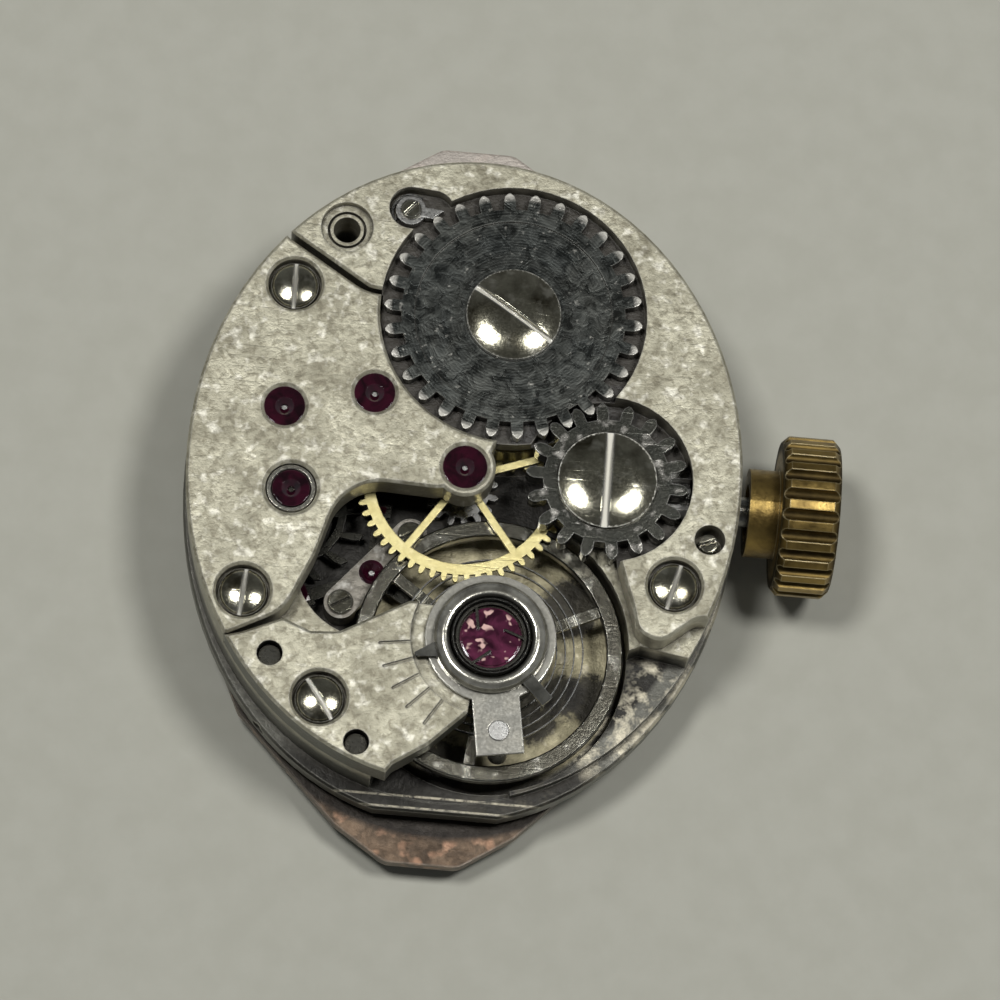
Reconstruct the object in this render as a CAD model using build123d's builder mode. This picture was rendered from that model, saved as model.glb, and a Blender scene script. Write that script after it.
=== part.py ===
from build123d import *
import os
from math import atan2, cos, degrees, hypot, pi, radians, sin, tan

os.makedirs("parts", exist_ok=True)

# A small oval hand-wound watch movement. Millimetres. The origin is on the hands' axis at the
# level of the dial's visible face, +Z runs towards the bridges and +X along the winding stem.

# Main plate and dial
plate_half_width = 6.5
plate_half_length = 7.6
flange_side_overhang = 0.08
flange_end_overhang = 0.45
flange_flat_depth = 0.2
flange_half_width = plate_half_width + flange_side_overhang
flange_half_length = plate_half_length + flange_end_overhang
flange_flat_reach = flange_half_length - flange_flat_depth
flange_thickness = 0.5
undercut_inset = 0.3
undercut_half_length = plate_half_length - undercut_inset
undercut_height = 0.3
dial_thickness = 0.4
motion_recess_depth = 0.38
train_floor_web = 0.22
barrel_floor_web = 0.12
bridge_thickness = 0.88
part_clearance = 0.02
running_clearance = 0.015
wall_clearance = 0.06
wheel_gap = 0.09
edge_bevel = 0.07
cut_overrun = 0.5

dial_end_overhang = 1.4
dial_half_length = plate_half_length + dial_end_overhang
dial_hole_radius = 0.95
dial_side_shift = 0.22
dial_outline_shares = [(0.134, 0.99), (0.325, 0.9), (0.706, 0.622), (0.893, 0.333), (0.955, 0.0)]
dial_corner_radius = 0.5
dial_foot_radius = 0.3
dial_foot_length = 0.85
dial_foot_places_shares = [(-0.3, 0.86), (-0.56, -0.68)]

# Places of the axes, as shares of the plate's half width and half length
third_place_shares = (-0.346, 0.213)
fourth_place_shares = (-0.665, 0.145)
escape_place_shares = (-0.615, -0.116)
barrel_place_shares = (0.131, 0.508)
crown_wheel_place_shares = (0.514, 0.0)
balance_place_shares = (0.14, -0.534)
click_place_shares = (-0.272, 0.826)

# Tooth counts
barrel_teeth = 60
center_pinion_leaves = 15
center_teeth = 56
third_pinion_leaves = 7
third_teeth = 60
fourth_pinion_leaves = 8
fourth_teeth = 72
escape_pinion_leaves = 6
escape_teeth = 15
ratchet_teeth = 30
crown_wheel_teeth = 18
winding_teeth = 14
cannon_leaves = 12
minute_teeth = 36
minute_pinion_leaves = 10
hour_teeth = 40
setting_teeth = 18
addendum_share = 0.95
dedendum_share = 1.15
tooth_width_share = 0.48
tooth_root_share = 1.1
tooth_shoulder_share = 0.6
tooth_shoulder_width_share = 0.72
tooth_tip_share = 0.2

# Going train
floor_gap = 0.1
train_wheel_thickness = 0.09
escape_wheel_thickness = 0.12
center_wheel_thickness = 0.11
arbor_radius = 0.11
center_arbor_radius = 0.3
hub_collar_height = 0.05
hub_collar_extra = 0.1
wheel_hub_extra = 0.2
pivot_radius = 0.06
pivot_shoulder = 0.16
rim_width = 0.26
arm_width = 0.17
center_arms = 5
train_arms = 4
escape_arms = 4
center_arm_turn = 20.0
pinion_overlap = 0.08
pivot_depth_share = 0.65
arbor_gap = 0.05

# Jewels
train_jewel_radius = 0.48
center_jewel_radius = 0.52
escape_jewel_radius = 0.44
chaton_radius = 0.6
jewel_thickness = 0.28
jewel_sink_radius = 0.22
jewel_sink_depth = 0.1
jewel_below_top = 0.06
jewel_bevel = 0.09
lower_jewel_radius = 0.32
lower_jewel_thickness = 0.16

# Escapement
embrace_angle = 84.0
pallet_line_angle = -34.9
escape_tooth_depth = 0.5
escape_tooth_shares = [(0.0, 0.0), (0.6, 0.1), (0.89, 0.2), (1.0, 0.42), (0.85, 0.43), (0.0, 0.22)]
escape_arm_width = 0.15
escape_rim_width = 0.2
pallet_arm_width = 0.3
pallet_stone_width = 0.15
pallet_stone_length = 0.5
pallet_stone_lean = 12.0
pallet_seat_width = 0.33
pallet_seat_depth_share = 0.25
pallet_lock = 0.05
pallet_staff_radius = 0.12
pallet_hub_radius = 0.27
lever_root_width = 0.34
lever_tip_width = 0.16
impulse_orbit_radius = 0.62
impulse_jewel_radius = 0.07
fork_horn_width = 0.36
fork_horn_length = 0.3
fork_slot_width = 0.2
pallet_bridge_gap = 0.08
pallet_bridge_thickness = 0.2
pallet_jewel_radius = 0.3
pallet_clearing_share = 0.8
pallet_bridge_width = 0.78
pallet_foot_angle = 50.0
pallet_foot_reach = 1.3
pallet_far_foot_reach = 1.04
pallet_screw_radius = 0.3
pallet_screw_height = 0.08
pallet_screw_shank_radius = 0.13
pallet_screw_grip = 0.3
pallet_slot_angle = 30.0
banking_pin_radius = 0.07
banking_pin_reach_share = 0.62
banking_pin_offset = 0.4

# Balance
balance_radius = 3.15
balance_rim_width = 0.38
balance_rim_height = 0.3
balance_gap = 0.1
balance_arm_width = 0.26
balance_arm_height = 0.14
balance_hub_radius = 0.42
balance_staff_radius = 0.17
balance_pivot_radius = 0.05
balance_arms = 3
balance_arm_turn = 25.0
staff_seat_radius = 0.34
roller_radius = 0.8
roller_thickness = 0.12
safety_roller_radius = 0.4
safety_roller_thickness = 0.1
collet_radius = 0.34
collet_height = 0.16
hairspring_strip = 0.05
hairspring_height = 0.12
hairspring_pitch = 0.46
hairspring_turns = 4
hairspring_gap = 0.05

# Balance cock, shock setting, regulator
cock_arm_lift = 0.24
cock_disc_radius = 1.5
regulator_recess_radius = 1.86
regulator_recess_depth = 0.26
shock_block_radius = 0.93
shock_block_rise = 0.14
shock_well_radius = 0.84
shock_well_depth = 0.2
shock_jewel_radius = 0.72
shock_jewel_thickness = 0.14
shock_cap_radius = 0.68
shock_cap_rise = 0.06
shock_spring_height = 0.09
shock_spring_reach = 0.36
shock_spring_tabs = 3
shock_spring_twist = 30.0
shock_spring_width = 0.06
shock_spring_thickness = 0.05
carrier_outer_radius = 1.52
carrier_thickness = 0.12
carrier_bore_clearance = 0.03
carrier_tongue_width = 1.1
carrier_tongue_reach = 2.75
carrier_angle = -81.0
stud_radius = 0.23
stud_reach = 2.2
stud_foot_width = 0.37
stud_rise = 0.04
regulator_outer_radius = 1.32
regulator_thickness = 0.12
regulator_pointer_width = 0.52
regulator_point_width = 0.09
regulator_pointer_reach = 1.8
regulator_angle = 198.0
regulator_tail_angle = -45.0
regulator_tail_reach = 2.0
regulator_tail_width = 0.3
curb_pin_radius = 0.04
curb_pin_gap = 0.03
regulator_ring_height = 0.2
tick_count = 5
tick_middle_angle = 213.0
tick_step = 12.4
tick_reach = 2.57
tick_width = 0.07
tick_depth = 0.05

# Barrel
barrel_floor_gap = 0.06
barrel_wall = 0.16
barrel_cover_thickness = 0.14
barrel_base_thickness = 0.16
barrel_tooth_height = 0.26
barrel_arbor_radius = 0.95
barrel_bearing_radius = 0.6
barrel_pivot_radius = 0.42
barrel_pivot_length = 0.1
barrel_square_side = 0.8
mainspring_strip = 0.12
mainspring_side_gap = 0.06
mainspring_turns = 3

# Winding wheels on the barrel bridge
recess_floor_thickness = 0.44
ratchet_thickness = 0.28
recess_rim_clearance = 0.1
ratchet_dish_depth = 0.04
ratchet_dish_radius_share = 0.88
ratchet_dish_rim = 0.05
crown_floor_thickness = 0.17
crown_wheel_thickness = 0.5
crown_post_radius = 0.55
crown_boss_radius = 1.45
pinion_window_width = 1.36
ratchet_screw_radius = 1.12
ratchet_screw_height = 0.2
crown_screw_radius = 1.16
crown_screw_height = 0.22
large_slot_width = 0.13
large_slot_depth = 0.1
winding_screw_shank_radius = 0.3
ratchet_slot_angle = -32.5
crown_slot_angle = 90.0
click_radius = 0.36
click_thickness = 0.22
click_beak_length = 0.72
click_beak_width = 0.26
click_beak_turn = 38.0
click_spring_start = 100.0
click_spring_sweep = 150.0
click_spring_wire = 0.06
click_spring_height = 0.12
click_foot_radius = 0.06
click_screw_radius = 0.24
click_screw_height = 0.1
click_screw_shank_radius = 0.12
click_slot_angle = 50.0
click_pocket_clearance = 0.16

# Screws of the bridges
screw_head_radius = 0.56
screw_head_height = 0.3
screw_recess_clearance = 0.07
screw_recess_depth = 0.34
screw_shank_radius = 0.26
screw_grip = 0.75
screw_slot_width = 0.1
screw_slot_depth = 0.13
small_slot_width = 0.05
small_slot_depth = 0.04
screw_edge_bevel = 0.06
train_screw_places_shares = [(-0.668, 0.542), (-0.752, -0.454)]
train_slot_angles = [91.0, 86.0]
barrel_screw_place_shares = (0.78, -0.32)
cock_screw_place_shares = (-0.448, -0.767)
barrel_slot_angle = 76.0
cock_slot_angle = 125.0
case_hole_place_shares = (-0.498, 0.743)
case_hole_radius = 0.32
case_counterbore_radius = 0.62
case_inner_ring_radius = 0.46
case_counterbore_depth = 0.22
case_inner_ring_depth = 0.4
case_hole_depth = 2.0
lever_screw_place_shares = (0.895, -0.167)
lever_screw_window_radius = 0.36
lever_screw_radius = 0.22
lever_screw_below_top = 0.3
lever_screw_flange_radius = 0.34
lever_screw_flange_height = 0.05
lever_slot_angle = 20.0
steady_places_shares = [(-0.637, -0.643), (-0.305, -0.896)]
steady_pin_radius = 0.26
steady_pin_depth = 0.4
steady_hole_radius = 0.3
steady_pin_rise = 0.62

# Winding stem, crown and keyless work
winding_pinion_radius = 1.13
winding_pinion_length = 0.72
winding_pinion_start = 4.62
stem_radius = 0.36
stem_round_radius = 0.28
stem_square_side = 0.4
stem_pilot_radius = 0.16
stem_pilot_start = 2.08
stem_square_start = 2.95
stem_pilot_clearance = 0.02
stem_groove_start = 5.5
stem_groove_length = 0.3
stem_groove_radius = 0.2
sliding_pinion_radius = 0.74
sliding_pinion_start = 3.62
sliding_pinion_length = 0.94
sliding_groove_radius = 0.46
sliding_groove_length = 0.24
face_teeth = 12
face_tooth_depth = 0.1
face_tooth_radius = 0.59
face_tooth_length = 0.37
winding_tooth_depth = 0.27
pinion_cavity_clearance = 0.07
pull_travel = 0.6
crown_start = 7.47
crown_length = 1.36
crown_radius = 1.9
crown_ridges = 24
crown_ridge_depth = 0.14
crown_bevel = 0.16
crown_collar_start = 6.76
crown_collar_radius = 1.05
crown_bore_length = 1.1
collar_cavity_radius = 0.68
collar_cavity_depth = 0.36
gasket_section_radius = 0.12
stem_exit_clearance = 0.06
keyless_thickness = 0.16
keyless_gap = 0.05
cover_thickness = 0.07
cover_post_place_shares = (0.792, 0.25)
yoke_place_shares = (0.538, 0.309)
lever_boss_radius = 0.42
yoke_boss_radius = 0.34
lever_arm_width = 0.3
yoke_arm_width = 0.26
lever_pin_radius = 0.11
keyless_foot_radius = 0.3
keyless_screw_radius = 0.24
keyless_screw_height = 0.035
keyless_shank_radius = 0.08
keyless_post_radius = 0.16
keyless_recess_shares = [(0.3, -0.23), (0.99, 0.388)]
keyless_recess_corner = 0.4
yoke_spring_width = 0.1
yoke_spring_tip_shares = (0.486, 0.05)
cover_corner = 0.3
cover_wide = 0.84
jumper_width = 0.12
jumper_tip_shares = (0.915, 0.05)

# Motion work under the dial
motion_distance = 1.55
minute_wheel_angle = -35.0
setting_wheel_angle = 54.0
cannon_seat_radius = 0.36
cannon_seat_length = 0.3
cannon_body_radius = 0.52
center_tail_radius = 0.2
center_tail_sink = 0.1
hour_pipe_radius = 0.7
hour_pipe_wall = 0.15
hour_shoulder_radius = 0.87
hour_below_dial = 0.3
motion_wheel_thickness = 0.1
motion_gap = 0.04
motion_post_radius = 0.14
setting_wheel_thickness = 0.2

# Screws in the plate's edge that hold the dial's feet
foot_screw_radius = 0.18
foot_screw_height = 0.55
foot_screw_sink = 0.06

# Outlines and cut-outs, as shares of the plate's half width and half length
train_bridge_shares = [
    (-0.9, 0.84), (-0.7, 0.69), (-0.41, 0.538), (0.131, 0.508), (0.108, 0.07), (-0.02, -0.079), (-0.34, -0.068),
    (-0.45, -0.14), (-0.508, -0.32), (-0.6, -0.505), (-0.79, -0.59), (-1.2, -0.6), (-1.2, 0.84),
]
barrel_bridge_shares = [
    (-0.9, 0.86), (-0.685, 0.705), (-0.396, 0.553), (0.131, 0.508), (0.514, 0.0), (0.58, -0.263),
    (0.612, -0.342), (0.636, -0.4), (0.66, -0.475), (0.745, -0.505), (0.865, -0.42), (1.2, -0.38),
    (1.2, 1.2), (-0.9, 1.2),
]
cock_foot_shares = [
    (-0.9, -0.62), (-0.745, -0.583), (-0.6, -0.528), (-0.5, -0.562), (-0.4, -0.556), (-0.158, -0.44),
    (0.02, -0.44), (0.09, -0.66), (0.078, -0.776), (-0.05, -0.885), (-0.171, -0.954), (-0.25, -1.05),
    (-0.9, -1.05),
]
rim_gap_shares = [(-0.32, -1.2), (-0.22, -0.9), (0.0, -0.8), (0.25, -0.9), (0.3, -1.2)]
rim_low_shares = [(0.2, -0.7), (0.68, -0.49), (1.1, -0.55), (0.9, -1.1), (0.25, -1.1)]
rim_limit_share = 0.93
train_bridge_corner = 1.2
barrel_bridge_corner = 0.45
cock_corner = 0.25
bridge_tip_radius = 0.72


def place(shares):
    return (shares[0] * plate_half_width, shares[1] * plate_half_length)


def distance(a, b):
    return hypot(a[0] - b[0], a[1] - b[1])


def heading(a, b):
    return degrees(atan2(b[1] - a[1], b[0] - a[0]))


def towards(start, angle, reach):
    return (start[0] + reach * cos(radians(angle)), start[1] + reach * sin(radians(angle)))


def at(spot, height, angle=0.0):
    turned = (cos(radians(angle)), sin(radians(angle)), 0)
    return Plane(origin=(spot[0], spot[1], height), x_dir=turned, z_dir=(0, 0, 1))


def sideways(spot, angle, height):
    # A sketch plane standing upright at a spot, looking along a heading.
    ahead = (cos(radians(angle)), sin(radians(angle)), 0)
    return Plane(origin=(spot[0], spot[1], height), x_dir=(0, 0, 1), z_dir=ahead)


def rim_reach(angle):
    # The distance from the centre to the edge of the plate's flange along a heading.
    return 1 / hypot(cos(radians(angle)) / flange_half_width, sin(radians(angle)) / flange_half_length)


def across(x_position, height):
    # A sketch plane square to the stem, looking along +X.
    return Plane(origin=(x_position, 0, height), x_dir=(0, 1, 0), z_dir=(1, 0, 0))


center = (0.0, 0.0)
third = place(third_place_shares)
fourth = place(fourth_place_shares)
escape = place(escape_place_shares)
barrel = place(barrel_place_shares)
crown_axis = place(crown_wheel_place_shares)
balance = place(balance_place_shares)
click = place(click_place_shares)

# Gear sizes from the distances of their axes
barrel_module = 2 * distance(barrel, center) / (barrel_teeth + center_pinion_leaves)
center_module = 2 * distance(center, third) / (center_teeth + third_pinion_leaves)
third_module = 2 * distance(third, fourth) / (third_teeth + fourth_pinion_leaves)
fourth_module = 2 * distance(fourth, escape) / (fourth_teeth + escape_pinion_leaves)
winding_module = 2 * distance(barrel, crown_axis) / (ratchet_teeth + crown_wheel_teeth)
cannon_module = 2 * motion_distance / (cannon_leaves + minute_teeth)
hour_module = 2 * motion_distance / (minute_pinion_leaves + hour_teeth)
escape_radius = distance(fourth, escape) - arbor_radius - arbor_gap
staff_distance = escape_radius / cos(radians(embrace_angle / 2))
pallet = towards(escape, pallet_line_angle, staff_distance)
lever_angle = heading(pallet, balance)
lever_length = distance(pallet, balance) - impulse_orbit_radius


def tip_radius(module, teeth):
    return module * (teeth / 2 + addendum_share)


def root_radius(module, teeth):
    return module * (teeth / 2 - dedendum_share)


# Heights, from the dial's visible face upwards
plate_z = dial_thickness
recess_z = plate_z + motion_recess_depth
train_floor_z = recess_z + train_floor_web
barrel_floor_z = recess_z + barrel_floor_web
fourth_z = train_floor_z + floor_gap
escape_z = fourth_z + train_wheel_thickness + wheel_gap + part_clearance
pallet_bridge_z = escape_z + escape_wheel_thickness + pallet_bridge_gap
rim_z = pallet_bridge_z + pallet_bridge_thickness + balance_gap
center_z = rim_z + balance_rim_height + balance_gap
third_z = center_z - wheel_gap - train_wheel_thickness
barrel_z = barrel_floor_z + barrel_floor_gap
barrel_top_z = third_z - wheel_gap
seat_z = center_z + center_wheel_thickness + wheel_gap
top_z = seat_z + bridge_thickness
ratchet_z = seat_z + recess_floor_thickness + part_clearance * 2
crown_floor_z = seat_z + crown_floor_thickness
crown_wheel_z = crown_floor_z + part_clearance * 2
stem_z = plate_z + part_clearance + winding_pinion_radius
cock_arm_z = seat_z + cock_arm_lift
cock_disc_top = top_z - regulator_recess_depth
carrier_z = cock_disc_top + part_clearance
regulator_z = carrier_z + carrier_thickness + part_clearance
jewel_top_z = top_z - jewel_below_top
jewel_z = jewel_top_z - jewel_thickness
lower_jewel_z = train_floor_z - lower_jewel_thickness
pocket_radius = tip_radius(barrel_module, barrel_teeth) + wall_clearance
balance_pocket_radius = balance_radius + 2 * wall_clearance
ratchet_recess_radius = tip_radius(winding_module, ratchet_teeth) + recess_rim_clearance
crown_recess_radius = tip_radius(winding_module, crown_wheel_teeth) + recess_rim_clearance
bridge_gap = part_clearance * 2


def mesh_turn(driver, driver_teeth, driver_turn, driven, driven_teeth):
    # The turn of a driven wheel that puts a gap where the driver has a tooth on the line of centres.
    line = heading(driver, driven)
    ahead = ((line - driver_turn) * driver_teeth / 360) % 1
    return line + 180 - (0.5 - ahead) * 360 / driven_teeth


def tooth_outline(module, teeth, turn=0.0):
    # Straight flanks inside the pitch circle and a pointed-arch tip outside it, as watch wheels have.
    pitch = 360 / teeth
    half = pitch * tooth_width_share / 2
    pitch_radius = module * teeth / 2
    root, tip = root_radius(module, teeth), tip_radius(module, teeth)
    shoulder = pitch_radius + (tip - pitch_radius) * tooth_shoulder_share
    flank = [(root, half * tooth_root_share), (pitch_radius, half),
             (shoulder, half * tooth_shoulder_width_share), (tip, half * tooth_tip_share)]
    profile = [(radius, -angle) for radius, angle in flank] + flank[::-1]
    return [
        towards(center, turn + pitch * index + angle, radius)
        for index in range(teeth)
        for radius, angle in profile
    ]


def gear(plane, points, height, bore=0.0, mode=Mode.ADD):
    # A toothed disc with an optional round bore.
    with BuildSketch(plane) as face:
        with BuildLine():
            Polyline(*points, close=True)
        make_face()
        if bore:
            Circle(bore, mode=Mode.SUBTRACT)
    extrude(face.sketch, amount=height, mode=mode)


def spoked_gear(plane, points, height, bore, hub, rim, arms, width, arm_turn=0.0):
    # A toothed rim on straight arms.
    with BuildSketch(plane) as face:
        with BuildLine():
            Polyline(*points, close=True)
        make_face()
        Circle(rim, mode=Mode.SUBTRACT)
        Circle(hub)
        with PolarLocations(hub / 2 + rim / 2, arms, start_angle=arm_turn):
            Rectangle(rim - hub + width, width)
        Circle(bore, mode=Mode.SUBTRACT)
    extrude(face.sketch, amount=height)


def disc(plane, radius, height, bore=0.0, mode=Mode.ADD):
    with BuildSketch(plane) as face:
        Circle(radius)
        if bore:
            Circle(bore, mode=Mode.SUBTRACT)
    extrude(face.sketch, amount=height, mode=mode)


def outline(plane, points, height, corner=0.0, mode=Mode.ADD):
    # A flat plate of the given outline, with its corners rounded.
    with BuildSketch(plane) as face:
        with BuildLine():
            Polyline(*points, close=True)
        make_face()
        if corner:
            fillet(face.vertices(), corner)
    extrude(face.sketch, amount=height, mode=mode)


def strip(plane, start, end, width, height, mode=Mode.ADD):
    # A straight bar with round ends between two points of the plane.
    with BuildSketch(plane) as face:
        with Locations(((start[0] + end[0]) / 2, (start[1] + end[1]) / 2)):
            SlotCenterToCenter(distance(start, end), width, rotation=heading(start, end))
    extrude(face.sketch, amount=height, mode=mode)


def turned(spot, profile, mode=Mode.ADD):
    # A solid of revolution about an upright axis; the profile is radius and height pairs.
    with BuildSketch(Plane(origin=(spot[0], spot[1], 0), x_dir=(1, 0, 0), z_dir=(0, -1, 0))) as face:
        with BuildLine():
            Polyline(*profile, close=True)
        make_face()
    revolve(face.sketch, axis=Axis((spot[0], spot[1], 0), (0, 0, 1)), mode=mode)


def turned_on_stem(profile, mode=Mode.ADD):
    # A solid of revolution about the stem; the profile is place along the stem and radius pairs.
    with BuildSketch(Plane(origin=(0, 0, stem_z), x_dir=(1, 0, 0), z_dir=(0, -1, 0))) as face:
        with BuildLine():
            Polyline(*profile, close=True)
        make_face()
    revolve(face.sketch, axis=Axis((0, 0, stem_z), (1, 0, 0)), mode=mode)


def jewel(spot, bottom, radius, thickness, hole, sink_above=True):
    # A drilled stone with a dished oil sink on its outer side.
    top = bottom + thickness
    if sink_above:
        profile = [(hole, bottom), (radius, bottom), (radius, top), (jewel_sink_radius, top),
                   (hole, top - jewel_sink_depth)]
    else:
        profile = [(hole, top), (radius, top), (radius, bottom), (jewel_sink_radius, bottom),
                   (hole, bottom + jewel_sink_depth)]
    turned(spot, profile)


def screw(spot, seat, head_radius, head_height, shank_radius, grip, slot_angle, slot_width, slot_depth):
    # A slotted cheese-head screw with a bevelled rim, its head standing on the seat height.
    top = seat + head_height
    bevel = min(screw_edge_bevel, head_height / 3)
    turned(spot, [(0, seat - grip), (shank_radius, seat - grip), (shank_radius, seat), (head_radius, seat),
                  (head_radius, top - bevel), (head_radius - bevel, top), (0, top)])
    with BuildSketch(at(spot, top - slot_depth, slot_angle)) as slot:
        Rectangle(2 * head_radius + cut_overrun, slot_width)
    extrude(slot.sketch, amount=slot_depth + cut_overrun, mode=Mode.SUBTRACT)


def screw_under(spot, seat, head_radius, head_height, shank_radius, grip, slot_angle, slot_width, slot_depth):
    # A slotted screw with its head below the seat height, pointing up.
    turned(spot, [(0, seat - head_height), (head_radius, seat - head_height), (head_radius, seat),
                  (shank_radius, seat), (shank_radius, seat + grip), (0, seat + grip)])
    with BuildSketch(at(spot, seat - head_height - cut_overrun, slot_angle)) as slot:
        Rectangle(2 * head_radius + cut_overrun, slot_width)
    extrude(slot.sketch, amount=slot_depth + cut_overrun, mode=Mode.SUBTRACT)


def arbor(spot, bottom, top, radius, bottom_pivot, top_pivot):
    # A plain arbor with a thinner pivot at each end.
    turned(spot, [(0, bottom - bottom_pivot), (pivot_radius, bottom - bottom_pivot), (pivot_radius, bottom),
                  (radius, bottom), (radius, top), (pivot_radius, top), (pivot_radius, top + top_pivot),
                  (0, top + top_pivot)])


def spiral_strip(plane, start_radius, pitch, turns, width, height):
    # A flat spiral of half turns about two centres, each half turn tangent to the next.
    halves = [
        (start_radius + half * pitch / 2, (half % 2) * pitch / 2, 180 * (half % 2))
        for half in range(2 * turns)
    ]
    last_radius, last_centre, last_start = halves[-1]
    side = 1 if last_start else -1
    with BuildSketch(plane) as face:
        with BuildLine():
            for radius, centre, start in halves:
                CenterArc((centre, 0), radius - width / 2, start, 180)
                CenterArc((centre, 0), radius + width / 2, start, 180)
            Line((start_radius - width / 2, 0), (start_radius + width / 2, 0))
            Line((last_centre + side * (last_radius - width / 2), 0),
                 (last_centre + side * (last_radius + width / 2), 0))
        make_face()
    extrude(face.sketch, amount=height)
    return pitch - width


def finish(builder, label):
    builder.part.label = label
    export_step(builder.part, "parts/" + label + ".step")


def scaled(shares):
    return [place(pair) for pair in shares]


def bridge_blank(shares, bottom, height, corner):
    # The part of the plate's oval that lies inside an outline.
    with BuildSketch(Plane.XY.offset(bottom)) as face:
        with BuildLine():
            Polyline(*scaled(shares), close=True)
        make_face()
        fillet(face.vertices().filter_by(lambda corner_point: inside_plate(corner_point)), corner)
        Ellipse(plate_half_width, plate_half_length, mode=Mode.INTERSECT)
    extrude(face.sketch, amount=height)


def inside_plate(point):
    return (point.X / plate_half_width) ** 2 + (point.Y / plate_half_length) ** 2 < rim_limit_share


def screw_pocket(spot, bottom):
    # A round sink for a screw head, with its bevelled mouth, and the clearance hole below it.
    mouth = screw_head_radius + screw_recess_clearance
    turned(spot, [(0, bottom - cut_overrun), (screw_shank_radius + part_clearance, bottom - cut_overrun),
                  (screw_shank_radius + part_clearance, top_z - screw_recess_depth),
                  (mouth, top_z - screw_recess_depth), (mouth, top_z - edge_bevel),
                  (mouth + edge_bevel, top_z), (mouth + edge_bevel, top_z + cut_overrun),
                  (0, top_z + cut_overrun)],
           mode=Mode.SUBTRACT)


def jewel_seat(spot, radius, bottom, top):
    # A hole that takes a stone, with a bevel above it.
    turned(spot, [(0, bottom - cut_overrun), (pivot_radius + arbor_radius, bottom - cut_overrun),
                  (pivot_radius + arbor_radius, jewel_z), (radius, jewel_z), (radius, jewel_top_z),
                  (radius + jewel_bevel, top), (radius + jewel_bevel, top + cut_overrun),
                  (0, top + cut_overrun)],
           mode=Mode.SUBTRACT)


click_to_ratchet = heading(click, barrel)
beak_tip = towards(click, click_to_ratchet + click_beak_turn, click_beak_length)
click_pocket_end = towards(click, click_to_ratchet + click_beak_turn, click_radius + click_pocket_clearance)
barrel_screw = place(barrel_screw_place_shares)
cock_screw = place(cock_screw_place_shares)
case_hole = place(case_hole_place_shares)
lever_screw = place(lever_screw_place_shares)
cover_post = place(cover_post_place_shares)
yoke_pivot = place(yoke_place_shares)
dial_feet = scaled(dial_foot_places_shares)
minute = towards(center, minute_wheel_angle, motion_distance)
setting_distance = cannon_module * (minute_teeth + setting_teeth) / 2
setting = towards(minute, setting_wheel_angle, setting_distance)
pallet_feet = [towards(pallet, pallet_foot_angle, pallet_foot_reach),
               towards(pallet, pallet_foot_angle + 180, pallet_far_foot_reach)]
screw_tap_z = seat_z - (screw_grip - (bridge_thickness - screw_recess_depth)) - part_clearance
motion_z = plate_z + motion_gap
minute_wheel_z = recess_z - motion_gap - motion_wheel_thickness
keyless_z = recess_z - keyless_gap - keyless_thickness
cover_z = plate_z + part_clearance
cover_top_z = cover_z + cover_thickness
lever_screw_top_z = top_z - lever_screw_below_top
foot_screw_z = plate_z + foot_screw_height
groove_x = stem_groove_start + stem_groove_length / 2
(recess_left, recess_low), (recess_right, recess_high) = scaled(keyless_recess_shares)

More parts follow.
